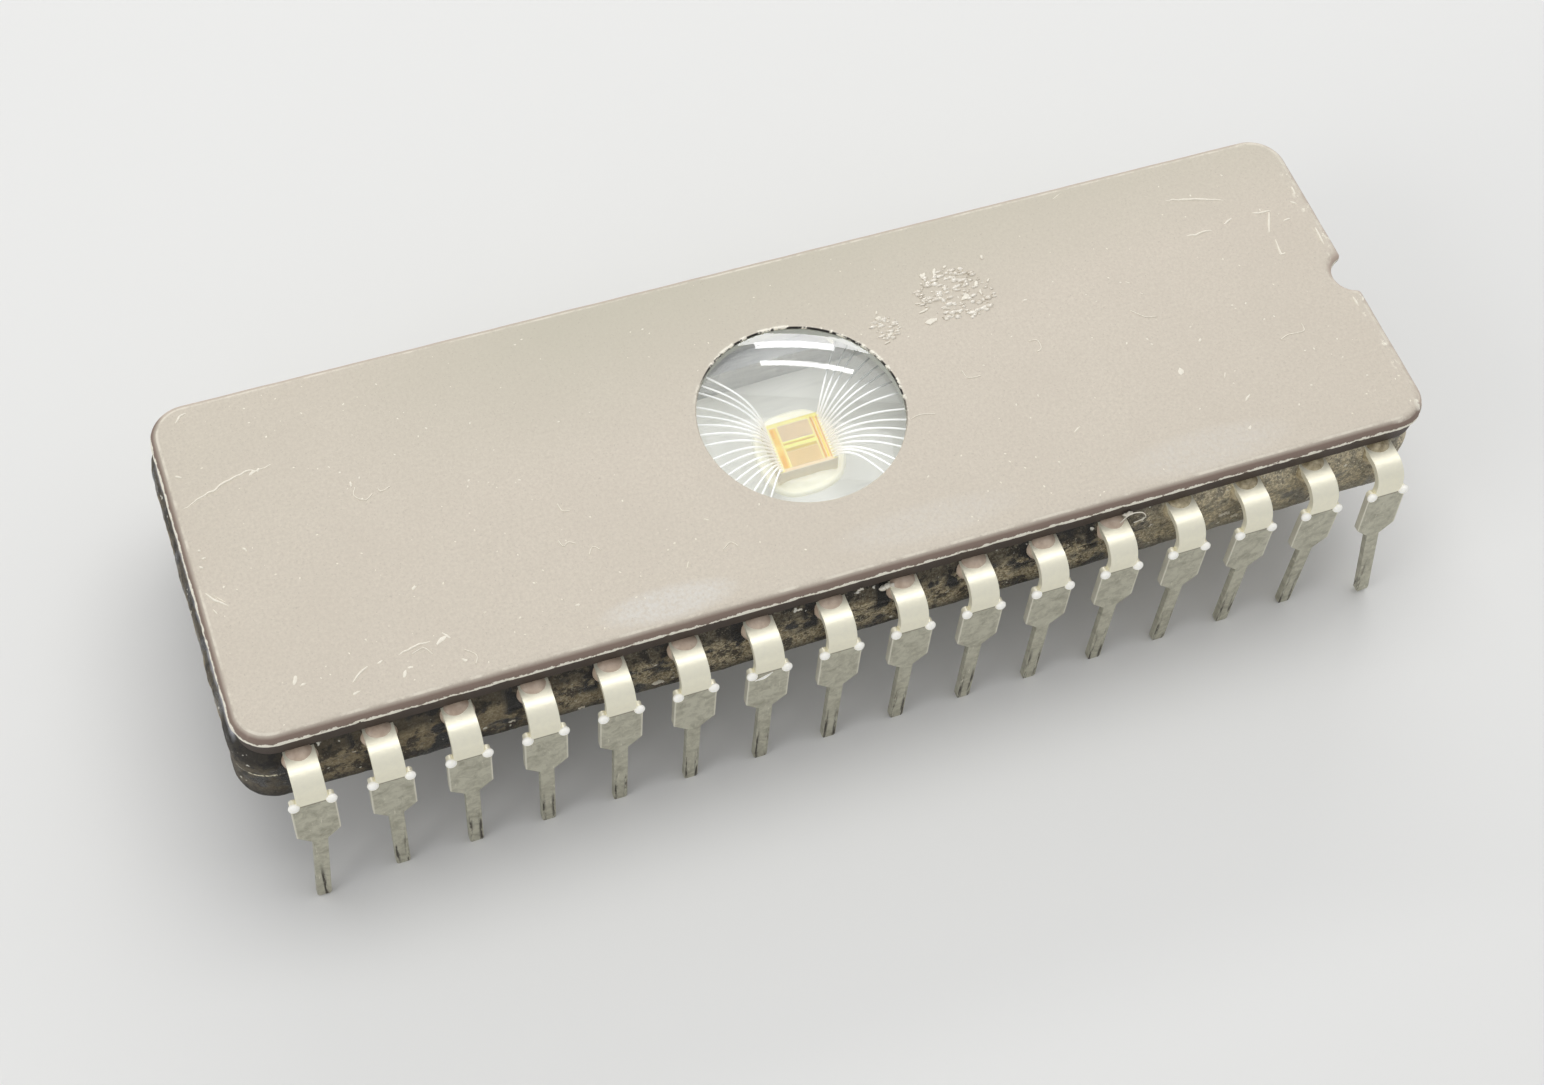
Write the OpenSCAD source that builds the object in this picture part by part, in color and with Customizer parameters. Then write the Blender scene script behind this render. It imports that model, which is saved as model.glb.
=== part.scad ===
// Windowed ceramic dual in-line memory chip: 32 leads at 2.54 mm, glass-sealed between two ceramics.
// The origin is at the centre of the plane that the lead tips reach, +Z up, +X towards the notched end.
// The visible long side with leads 17 to 32 faces -Y.

/* [Ceramics] */
// Reach of the lid and of the base past the middle of the last lead
end_reach = 1.85; // [1.5:0.05:2.4]
// Width of the lid and of the base
body_width = 13.2; // [12.8:0.1:13.5]
// Radius of the upright corners
corner_radius = 1.3; // [0.9:0.1:2]
// Height of the base's underside above the lead tips
standoff = 4.4; // [3.9:0.1:5]
// Thickness of the base
base_height = 2.25; // [2:0.05:2.6]
// How far the base sits off the lid's centre, away from the notch
base_shift = 0.17; // [0:0.01:0.25]
// Bevel around the base's underside
base_foot_bevel = 0.22; // [0.05:0.01:0.4]
// Run of the sloped edge around the base's top
base_slope_run = 0.3; // [0.1:0.05:0.4]
// Drop of the sloped edge around the base's top
base_slope_drop = 0.6; // [0.3:0.05:0.8]
// Thickness of the lid
lid_height = 1.1; // [0.9:0.05:1.4]
// Radius of the round along the lid's top edge
lid_edge_round = 0.35; // [0.1:0.05:0.5]
// How far the lid's sides draw in towards the seal
lid_draft = 0.12; // [0:0.02:0.2]
// Radius of the index notch
notch_radius = 0.75; // [0.5:0.05:1]
// Depth of the index notch from the lid's end
notch_depth = 0.68; // [0.4:0.02:0.9]
// Sideways place of the notch
notch_offset = -0.1; // [-0.3:0.05:0.3]

/* [Seal glass] */
// Glass between the base and the leads
glass_under_leads = 0.2; // [0.1:0.05:0.3]
// Glass between the leads and the lid
glass_over_leads = 0.15; // [0.1:0.05:0.3]
// How far the glass bulges past a straight slope
glass_bulge = 0.05; // [0:0.01:0.08]
// Radius of the glass bead around each lead where it leaves the seal
bead_radius = 0.62; // [0.56:0.01:0.68]
// How far the bead's middle lies inside the body's side
bead_inset = 0.15; // [0.1:0.01:0.2]
// How far the bead's middle lies below the lead's top
bead_drop = 0.38; // [0.35:0.01:0.45]

/* [Window] */
// Diameter of the window
window_diameter = 7.11; // [6.5:0.01:7.5]
// Depth of the lens rim below the lid's top
lens_recess = 0.06; // [0.02:0.01:0.15]
// Height of the lens dome above its rim
lens_rise = 0.4; // [0.1:0.05:0.8]

/* [Cavity] */
// Length of the die well in the base
well_length = 9.2; // [8.6:0.1:9.6]
// Width of the die well in the base
well_width = 5.9; // [5.6:0.1:6.2]
// Depth of the die well
well_depth = 1.1; // [0.8:0.05:1.3]
// Corner radius of the die well
well_corner = 0.6; // [0.3:0.1:1]
// Width of the ledge round the well that leaves the finger tips bare
ledge = 0.65; // [0.62:0.01:0.75]
// Depth of the pocket under the lid over the wires
pocket_depth = 0.25; // [0.2:0.05:0.4]
// Thickness of the metal fired onto the well's floor
plating = 0.03; // [0.01:0.01:0.05]

/* [Die] */
// Length of the die along the package
die_length = 1.95; // [1.4:0.05:2.4]
// Width of the die across the package
die_width = 1.8; // [1.4:0.05:2.4]
// Thickness of the die
die_thickness = 0.42; // [0.25:0.01:0.5]
// Place of the die along the package, from the middle
die_offset = 0.14; // [-0.3:0.02:0.3]
// Place of the die across the package, from the middle
die_shift = 0.14; // [-0.2:0.02:0.2]
// Thickness of the pool that holds the die
attach_thickness = 0.1; // [0.05:0.01:0.15]
// How far the pool shows in front of the die and behind it
attach_margin = 0.45; // [0.3:0.05:0.7]
// How far the pool shows beside the die
attach_side = 0.28; // [0.2:0.02:0.6]

/* [Leads] */
// Pitch of the leads
pitch = 2.54; // [2.54]
// Straight run of each lead out of the seal, up to its bend
lead_run = 0.38; // [0.3:0.02:0.6]
// How far the lead frame sits off the lid's middle, towards the visible row
frame_shift = 0.07; // [0:0.01:0.15]
// Thickness of the lead frame
lead_thickness = 0.25; // [0.2:0.01:0.3]
// Outer radius of the bend
bend_radius = 0.75; // [0.5:0.05:0.8]
// Outward lean of the leads
splay = 1.2; // [0:0.1:4]
// Width of the lead at the seal and round the bend
neck_width = 1; // [0.8:0.05:1.1]
// Width of the lead's shoulder
shoulder_width = 1.45; // [1.3:0.05:1.6]
// Drop from the bend to the top of the shoulder
neck_drop = 0.42; // [0.2:0.02:0.6]
// Height of the shoulder's straight sides
shoulder_height = 1.95; // [1.5:0.05:2.2]
// Height of the taper from the shoulder to the pin
taper_height = 0.42; // [0.2:0.02:0.8]
// Width of the pin
pin_width = 0.48; // [0.41:0.01:0.56]
// Diameter of the sheared nubs at the shoulder's top corners
nub_diameter = 0.27; // [0.2:0.01:0.34]
// Sideways lean of the pin that was bent at the plain end
plain_end_lean = -4; // [-8:0.5:8]
// Extra outward lean of the lead that was bent at the plain end
plain_end_splay = 3; // [0:0.5:5]
// Sideways lean of the pin that was bent at the notched end
notch_end_lean = 7; // [-8:0.5:8]
// Extra outward lean of the lead that was bent at the notched end
notch_end_splay = 4.5; // [0:0.5:5]
// Width of the fingers at their tips
finger_width = 0.3; // [0.24:0.01:0.32]
// Spacing of the finger tips round the well
finger_pitch = 0.6; // [0.56:0.01:0.64]

/* [Bond wires] */
// Diameter of the wires
wire_diameter = 0.045; // [0.03:0.005:0.06]
// Height of the wire's arch above its finger
wire_arch = 0.08; // [0.04:0.01:0.12]

/* [Hidden] */
$fn = 48;

row_leads = 16;
body_length = (row_leads - 1) * pitch + 2 * end_reach;

// Levels, from the lead tips up
base_top = standoff + base_height;
lead_bottom = base_top + glass_under_leads;
lead_top = lead_bottom + lead_thickness;
lid_bottom = lead_top + glass_over_leads;
lid_top = lid_bottom + lid_height;
pocket_top = lid_bottom + pocket_depth;
well_floor = base_top - well_depth;
plating_top = well_floor + plating;
attach_top = plating_top + attach_thickness;
die_top = attach_top + die_thickness;

// Lead frame
quarter_leads = row_leads / 2;
bend_y = body_width / 2 + lead_run;
bend_z = lead_top - bend_radius;
inner_radius = bend_radius - lead_thickness;
leaf_length = (bend_z + inner_radius * sin(splay)) / cos(splay);
shoulder_top = neck_drop;
shoulder_bottom = shoulder_top + shoulder_height;
pin_root = shoulder_bottom + taper_height;
join = 0.01;
corner_cut = 0.06;
tip_cut = 0.05;
finger_turn = 0.75;
turn_y = body_width / 2 - finger_turn;
tip_setback = 0.12;
across_tips = 3;
first_side_tip = 0.45;
first_across_tip = 2.4;

// Die attach
pool_corner = 1.9 * attach_margin;
pool_slope = 0.35 * attach_margin;

// Wires
wire_sides = 6;
wire_steps = 8;
landing = 1.02;
pad_inset = 0.09;
pad_run = 0.86;
through = 1;

function tip_x(k) = k < across_tips ? first_across_tip + finger_pitch * k : well_length / 2 + tip_setback;
function tip_y(k) = k < across_tips
    ? well_width / 2 + tip_setback
    : first_side_tip + finger_pitch * (quarter_leads - 1 - k);

// Lead n, from 1: its place along the package, its row (1 towards +Y) and its turn from the middle
function lead_row(n) = n <= row_leads ? 1 : -1;
function lead_step(n) = n <= row_leads ? row_leads - n : n - row_leads - 1;
function lead_x(n) = (lead_step(n) - (row_leads - 1) / 2) * pitch;
function lead_turn(n) = floor(abs(lead_x(n)) / pitch);
function finger_tip(n) = [sign(lead_x(n)) * tip_x(lead_turn(n)), tip_y(lead_turn(n))];

// The two end leads of the -Y row were bent in handling
plain_end_lead = row_leads + 1;
notch_end_lead = 2 * row_leads;
function pin_lean(n) = n == plain_end_lead ? plain_end_lean : n == notch_end_lead ? notch_end_lean : 0;
function lead_splay(n) =
    splay + (n == plain_end_lead ? plain_end_splay : n == notch_end_lead ? notch_end_splay : 0);

// A slab with rounded upright corners; profile is a list of [inset, height] up its side
module slab(length, width, radius, profile) {
    long_side = [for (p = profile) [width / 2 - p[0], p[1]]];
    short_side = [for (p = profile) [length / 2 - p[0], p[1]]];
    corner = [for (p = profile) [radius - p[0], p[1]]];
    last = len(profile) - 1;
    rotate([90, 0, 90])
        linear_extrude(height = length - 2 * radius, center = true)
            polygon(concat(long_side, [for (i = [last:-1:0]) [-long_side[i][0], long_side[i][1]]]));
    rotate([90, 0, 0])
        linear_extrude(height = width - 2 * radius, center = true)
            polygon(concat(short_side, [for (i = [last:-1:0]) [-short_side[i][0], short_side[i][1]]]));
    for (turn = [0:3]) {
        side_x = turn == 0 || turn == 3 ? 1 : -1;
        side_y = turn < 2 ? 1 : -1;
        translate([side_x * (length / 2 - radius), side_y * (width / 2 - radius), 0])
            rotate([0, 0, 90 * turn])
                rotate_extrude(angle = 90)
                    polygon(concat([[0, profile[0][1]]], corner, [[0, profile[last][1]]]));
    }
}

// The outline of the die well, grown by margin, from low to high
module well_block(margin, low, high) {
    slab(well_length + 2 * margin, well_width + 2 * margin, well_corner + margin, [[0, low], [0, high]]);
}

module index_notch() {
    translate([body_length / 2 - notch_depth + notch_radius, notch_offset, standoff - through])
        cylinder(r = notch_radius, h = lid_top - standoff + 2 * through);
}

module base_block() {
    translate([-base_shift, 0, 0])
        slab(body_length, body_width, corner_radius, [
            [base_foot_bevel, standoff],
            [0, standoff + base_foot_bevel],
            [0, base_top - base_slope_drop],
            [base_slope_run, base_top]
        ]);
}

module ceramic_base() {
    color("dimgray")
        difference() {
            base_block();
            well_block(0, well_floor, base_top + through);
            index_notch();
        }
}

module ceramic_lid() {
    round_steps = 6;
    rounded_edge = [
        for (i = [0:round_steps])
            let (a = 90 * i / round_steps)
                [lid_edge_round * (1 - cos(a)), lid_top - lid_edge_round + lid_edge_round * sin(a)]
    ];
    color("rosybrown")
        difference() {
            slab(body_length, body_width, corner_radius, concat([[lid_draft, lid_bottom]], rounded_edge));
            well_block(ledge, lid_bottom - through, pocket_top);
            translate([0, 0, lid_bottom])
                cylinder(d = window_diameter, h = lid_height + through, $fn = 96);
            index_notch();
        }
}

module seal_glass() {
    slope_steps = 5;
    seal_low = base_top - base_slope_drop;
    bulged_side = [
        for (i = [0:slope_steps])
            let (t = i / slope_steps)
                [base_slope_run * t * t - glass_bulge * sin(180 * t), seal_low + (lid_bottom - seal_low) * t]
    ];
    color("darkkhaki")
        difference() {
            union() {
                translate([-base_shift, 0, 0])
                    slab(body_length, body_width, corner_radius, bulged_side);
                for (n = [1:2 * row_leads])
                    lead_bead(n);
            }
            base_block();
            well_block(0, base_top - through, lid_bottom);
            well_block(ledge, lead_bottom, lid_bottom + through);
            for (n = [1:2 * row_leads]) {
                lead_strip(n);
                at_bend(n)
                    lead_bend(n);
            }
            index_notch();
        }
}

// The bead of glass that climbs each lead, cut level with the lid's underside
module lead_bead(n) {
    intersection() {
        translate([lead_x(n), lead_row(n) * (body_width / 2 - bead_inset), lead_top - bead_drop])
            sphere(r = bead_radius);
        translate([lead_x(n), lead_row(n) * body_width / 2, lid_bottom - 2 * bead_radius])
            cube(4 * bead_radius, center = true);
    }
}

module window_lens() {
    rim_z = lid_top - lens_recess;
    dome_radius = (pow(window_diameter / 2, 2) + lens_rise * lens_rise) / (2 * lens_rise);
    color("lightcyan")
        intersection() {
            translate([0, 0, pocket_top])
                cylinder(d = window_diameter, h = rim_z + lens_rise - pocket_top, $fn = 96);
            translate([0, 0, rim_z + lens_rise - dome_radius])
                sphere(r = dome_radius, $fn = 360);
        }
}

module floor_plating() {
    color("silver")
        well_block(0, well_floor, plating_top);
}

module die_attach() {
    color("ivory")
        translate([die_offset, die_shift, 0])
            slab(die_length + 2 * attach_side, die_width + 2 * attach_margin, pool_corner, [
                [0, plating_top],
                [0.3 * pool_slope, plating_top + 0.6 * attach_thickness],
                [pool_slope, attach_top]
            ]);
}

module silicon_die() {
    color("gold")
        translate([die_offset, die_shift, attach_top + die_thickness / 2])
            cube([die_length, die_width, die_thickness], center = true);
}

// The flat strip inside the seal, from the bend to the finger tip at the well
module lead_strip(n) {
    start = [lead_x(n), turn_y];
    tip = finger_tip(n);
    along = (tip - start) / norm(tip - start);
    beside = [-along[1], along[0]] * finger_width / 2;
    half = neck_width / 2;
    in_row(n)
        translate([0, 0, lead_bottom])
            linear_extrude(height = lead_thickness)
                polygon([
                    [start[0] - half, bend_y + join],
                    [start[0] + half, bend_y + join],
                    [start[0] + half, turn_y],
                    tip + beside,
                    tip - beside,
                    [start[0] - half, turn_y]
                ]);
}

// The outline of the bent-down part, with 0 at the bend and the pin pointing down
module leaf_outline(lean) {
    neck = neck_width / 2;
    wide = shoulder_width / 2;
    thin = pin_width / 2;
    polygon([
        [-neck, join],
        [-neck, -shoulder_top],
        [-wide, -shoulder_top],
        [-wide, -shoulder_bottom + corner_cut],
        [-wide + corner_cut, -shoulder_bottom],
        [-thin, -pin_root],
        [thin, -pin_root],
        [wide - corner_cut, -shoulder_bottom],
        [wide, -shoulder_bottom + corner_cut],
        [wide, -shoulder_top],
        [neck, -shoulder_top],
        [neck, join]
    ]);
    for (side = [-1, 1])
        translate([side * (wide - nub_diameter / 2), -shoulder_top])
            circle(d = nub_diameter);
    translate([0, -pin_root])
        rotate([0, 0, lean])
            polygon([
                [-thin, taper_height / 2],
                [-thin, pin_root - leaf_length + 2 * tip_cut],
                [-thin + tip_cut, pin_root - leaf_length],
                [thin - tip_cut, pin_root - leaf_length],
                [thin, pin_root - leaf_length + 2 * tip_cut],
                [thin, taper_height / 2]
            ]);
}

// Puts its children, drawn for the +Y row, in the lead's own row
module in_row(n) {
    translate([0, -frame_shift, 0])
        mirror([0, lead_row(n) > 0 ? 0 : 1, 0])
            children();
}

// Puts its children at the lead's bend, turned by the lead's outward lean
module at_bend(n) {
    in_row(n)
        translate([lead_x(n), bend_y, bend_z])
            rotate([lead_splay(n), 0, 0])
                children();
}

module lead_bend(n) {
    rotate([90, 0, 90])
        rotate_extrude(angle = 90 - lead_splay(n))
            translate([inner_radius, -neck_width / 2])
                square([lead_thickness, neck_width]);
}

module lead(n) {
    color("silver") {
        lead_strip(n);
        at_bend(n) {
            lead_bend(n);
            translate([0, bend_radius, 0])
                rotate([90, 0, 0])
                    linear_extrude(height = lead_thickness)
                        leaf_outline(pin_lean(n));
        }
    }
}

// A round wire swept along its centre points
module wire(path) {
    last = len(path) - 1;
    heading = [for (i = [0:last]) path[min(i + 1, last)] - path[max(i - 1, 0)]];
    rings = [
        for (i = [0:last])
            let (ahead = heading[i] / norm(heading[i]), side = cross([0, 0, 1], ahead))
                let (across = side / norm(side), up = cross(ahead, across))
                    for (s = [0:wire_sides - 1])
                        let (a = 360 * s / wire_sides)
                            path[i] + wire_diameter / 2 * (cos(a) * across + sin(a) * up)
    ];
    tube = [
        for (i = [0:last - 1], s = [0:wire_sides - 1])
            let (low = i * wire_sides, next = (s + 1) % wire_sides)
                [low + s, low + wire_sides + s, low + wire_sides + next, low + next]
    ];
    start_cap = [[for (s = [0:wire_sides - 1]) s]];
    end_cap = [[for (s = [wire_sides - 1:-1:0]) last * wire_sides + s]];
    polyhedron(points = rings, faces = concat(start_cap, tube, end_cap));
}

// From the pad at the die's edge, steeply up and then level to the finger tip
module bond_wire(n) {
    tip = finger_tip(n);
    end_side = sign(tip[0]);
    foot_x = die_offset + end_side * (die_length / 2 - pad_inset);
    foot = [foot_x, die_shift + pad_y(n), die_top + wire_diameter / 2];
    head_y = lead_row(n) * tip[1] * landing - frame_shift;
    head = [tip[0] * landing, head_y, lead_top + wire_diameter / 2];
    wire([
        for (i = [0:wire_steps])
            let (t = pow(i / wire_steps, 1.5), arch = wire_arch * sin(180 * pow(t, 0.6)))
                [
                    foot[0] + (head[0] - foot[0]) * t,
                    foot[1] + (head[1] - foot[1]) * t,
                    foot[2] + (head[2] - foot[2]) * (1 - pow(1 - t, 4)) + arch
                ]
    ]);
}

// The pads run along the die's edge in the order of the finger tips
function pad_y(n) = lead_row(n) * pad_run * (quarter_leads - lead_turn(n) - 0.5) / quarter_leads;

module bond_wires(end_side) {
    color("whitesmoke")
        for (n = [1:2 * row_leads])
            if (sign(lead_x(n)) == end_side)
                bond_wire(n);
}

ceramic_base();
ceramic_lid();
seal_glass();
window_lens();
floor_plating();
die_attach();
silicon_die();
bond_wires(-1);  // bond_wires_plain_end
bond_wires(1);  // bond_wires_notch_end
lead(1);  // lead_01
lead(2);  // lead_02
lead(3);  // lead_03
lead(4);  // lead_04
lead(5);  // lead_05
lead(6);  // lead_06
lead(7);  // lead_07
lead(8);  // lead_08
lead(9);  // lead_09
lead(10);  // lead_10
lead(11);  // lead_11
lead(12);  // lead_12
lead(13);  // lead_13
lead(14);  // lead_14
lead(15);  // lead_15
lead(16);  // lead_16
lead(17);  // lead_17
lead(18);  // lead_18
lead(19);  // lead_19
lead(20);  // lead_20
lead(21);  // lead_21
lead(22);  // lead_22
lead(23);  // lead_23
lead(24);  // lead_24
lead(25);  // lead_25
lead(26);  // lead_26
lead(27);  // lead_27
lead(28);  // lead_28
lead(29);  // lead_29
lead(30);  // lead_30
lead(31);  // lead_31
lead(32);  // lead_32
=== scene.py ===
import bpy
import bmesh
import math
import random
from mathutils import Matrix, Vector, noise


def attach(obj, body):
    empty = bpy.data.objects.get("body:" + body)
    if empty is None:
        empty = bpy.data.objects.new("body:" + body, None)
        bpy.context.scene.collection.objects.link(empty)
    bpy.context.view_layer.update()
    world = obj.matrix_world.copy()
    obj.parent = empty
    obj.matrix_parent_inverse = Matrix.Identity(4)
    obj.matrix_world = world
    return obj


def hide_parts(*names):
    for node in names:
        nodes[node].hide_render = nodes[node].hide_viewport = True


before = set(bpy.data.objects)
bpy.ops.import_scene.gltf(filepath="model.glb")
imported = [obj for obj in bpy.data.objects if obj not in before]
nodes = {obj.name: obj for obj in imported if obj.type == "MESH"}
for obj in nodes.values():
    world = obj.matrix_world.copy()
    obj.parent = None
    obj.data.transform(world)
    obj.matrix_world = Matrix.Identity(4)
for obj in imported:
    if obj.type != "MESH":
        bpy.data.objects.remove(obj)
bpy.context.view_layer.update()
mm = 0.001
print("frame loaded:", len(nodes), "CAD nodes")


# Camera, solved on the photograph: its place in mm and its right, up and back directions
cameraSettings = {
    "place": (-21.58, -43.52, 78.31),
    "right": (0.93829, -0.33991, 0.06371),
    "up": (0.25879, 0.81233, 0.52264),
    "back": (-0.22940, -0.47391, 0.85017),
    "lens": 58.87,
    "sensor": 36.0,
    "clip": (0.002, 20),
}


def inScene(name, data):
    made = bpy.data.objects.new(name, data)
    bpy.context.scene.collection.objects.link(made)
    return made


def makeCamera(settings):
    cameraData = bpy.data.cameras.new("photoCamera")
    cameraData.lens = settings["lens"]
    cameraData.sensor_width = settings["sensor"]
    cameraData.sensor_fit = "HORIZONTAL"
    cameraData.clip_start, cameraData.clip_end = settings["clip"]
    camera = inScene("photoCamera", cameraData)
    turn = Matrix((settings["right"], settings["up"], settings["back"])).transposed()
    camera.matrix_world = Matrix.Translation(Vector(settings["place"]) * mm) @ turn.to_4x4()
    bpy.context.scene.camera = camera


makeCamera(cameraSettings)


def addNode(tree, kind, **values):
    made = tree.nodes.new(kind)
    for key, value in values.items():
        setattr(made, key, value)
    return made


def linear(colour):
    # An sRGB colour, 0 to 255, as Blender's linear one
    return [((c / 255 + 0.055) / 1.055) ** 2.4 if c > 10 else c / 255 / 12.92 for c in colour] + [1]


class Finish:
    # A material, with short calls for the nodes of its tree; its base colour is laid on in coats
    def __init__(self, name):
        self.material = bpy.data.materials.new(name)
        self.material.use_nodes = True
        self.tree = self.material.node_tree
        self.shader = self.tree.nodes["Principled BSDF"]
        self.base = None

    def feed(self, socket, value):
        # A number or an sRGB colour is set, and anything else is linked
        if isinstance(value, (int, float)):
            socket.default_value = value
        elif isinstance(value, (tuple, list)):
            socket.default_value = linear(value)
        else:
            self.tree.links.new(value, socket)

    def feedAll(self, taker, **values):
        for name, value in values.items():
            self.feed(taker.inputs[name], value)

    def set(self, values):
        # What the shader takes, by the names of its sockets
        self.feedAll(self.shader, **values)

    def point(self, place=(0, 0, 0), stretch=(1, 1, 1)):
        # Object coordinates in mm, moved and stretched
        coords = addNode(self.tree, "ShaderNodeTexCoord")
        mapping = addNode(self.tree, "ShaderNodeMapping")
        mapping.inputs["Location"].default_value = place
        mapping.inputs["Scale"].default_value = [1000 * s for s in stretch]
        self.feed(mapping.inputs["Vector"], coords.outputs["Object"])
        return mapping.outputs["Vector"]

    def split(self, point):
        made = addNode(self.tree, "ShaderNodeSeparateXYZ")
        self.feed(made.inputs[0], point)
        return made.outputs

    def noise(self, point, scale, detail=4, roughness=0.6, distortion=0):
        made = addNode(self.tree, "ShaderNodeTexNoise")
        self.feedAll(made, Scale=scale, Detail=detail, Roughness=roughness, Distortion=distortion, Vector=point)
        return made.outputs["Fac"]

    def ramp(self, value, low, high, lowOut=0.0, highOut=1.0):
        made = addNode(self.tree, "ShaderNodeMapRange")
        self.feedAll(made, **{"From Min": low, "From Max": high, "To Min": lowOut, "To Max": highOut, "Value": value})
        return made.outputs["Result"]

    def maths(self, operation, *values):
        made = addNode(self.tree, "ShaderNodeMath", operation=operation)
        for socket, value in zip(made.inputs, values):
            self.feed(socket, value)
        return made.outputs["Value"]

    def times(self, first, *others):
        for other in others:
            first = self.maths("MULTIPLY", first, other)
        return first

    def plus(self, first, second):
        return self.maths("ADD", first, second)

    def minus(self, first, second):
        return self.maths("SUBTRACT", first, second)

    def off(self, value, middle=0):
        # How far a value is from the middle one
        return self.maths("ABSOLUTE", self.minus(value, middle) if middle else value)

    def away(self, x, y):
        # Distance from the middle of the part, seen from above
        return self.maths("SQRT", self.plus(self.times(x, x), self.times(y, y)))

    def inside(self, x, y):
        # 1 in the well and its surroundings, which show only through the window
        deep = self.ramp(self.off(y), 4.6, 4.4)
        return self.times(deep, self.ramp(self.off(x), 6.2, 6.0))

    def blend(self, factor, first, second):
        made = addNode(self.tree, "ShaderNodeMix", data_type="RGBA")
        self.feed(made.inputs[6], first)
        self.feed(made.inputs[7], second)
        self.feed(made.inputs[0], factor)
        return made.outputs[2]

    def coat(self, factor, colour):
        # Lays a colour over what is there
        self.base = self.blend(factor, self.base, colour)

    def bump(self, height, distance, strength):
        made = addNode(self.tree, "ShaderNodeBump")
        self.feedAll(made, Distance=distance, Strength=strength, Height=height)
        self.set({"Normal": made.outputs["Normal"]})


def paint(piece, material):
    piece.data.materials.clear()
    piece.data.materials.append(material)


# Lid ceramic: matt taupe with painted shade towards the back; on its rounding mauve with painted shade and a painted
# highlight on its crest; a chipped pale edge, widened at the plain end by a painted highlight, over a side darkened by
# painted shade; a dark line of painted shade round the window
lidLook = {
    "top": (221, 211, 193),
    "topDark": (201, 190, 173),
    "back": (193, 187, 167),
    "pit": (172, 161, 146),
    "band": (138, 119, 106),
    "bandPale": (198, 180, 164),
    "crestHighlight": (236, 228, 210),
    "side": (72, 60, 51),
    "chip": (252, 246, 228),
    "rimShade": (34, 29, 24),
    "edgeHeight": 8.02,
    "edgeWidth": 0.115,
    "mouth": (186, 188, 176),
    "rimRadius": 3.57,
    "scuff": (232, 233, 230),
    "scuffs": [
        # x, y, half length, half width, strength
        (-6.6, -5.65, 2.5, 0.7, 0.4),
        (2.5, -5.3, 3.6, 0.8, 0.15),
        (12.6, -5.5, 3.4, 0.9, 0.18),
    ],
    "roughness": 0.62,
    # Ranges of x, y or height over which a part of the look starts
    "nearY": (-5.9, -6.2),
    "nearX": (-20.2, -20.5),
    "roundRange": (8.338, 8.24),
    "crestHeight": 8.325,
    "notchCrest": 8.29,
    "notchFrom": (19.2, 19.6),
    "scrapeFrom": (20.3, 20.5),
    "wideFrom": (-20.7, -20.9),
    "mouthRange": (8.27, 8.2),
}


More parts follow.
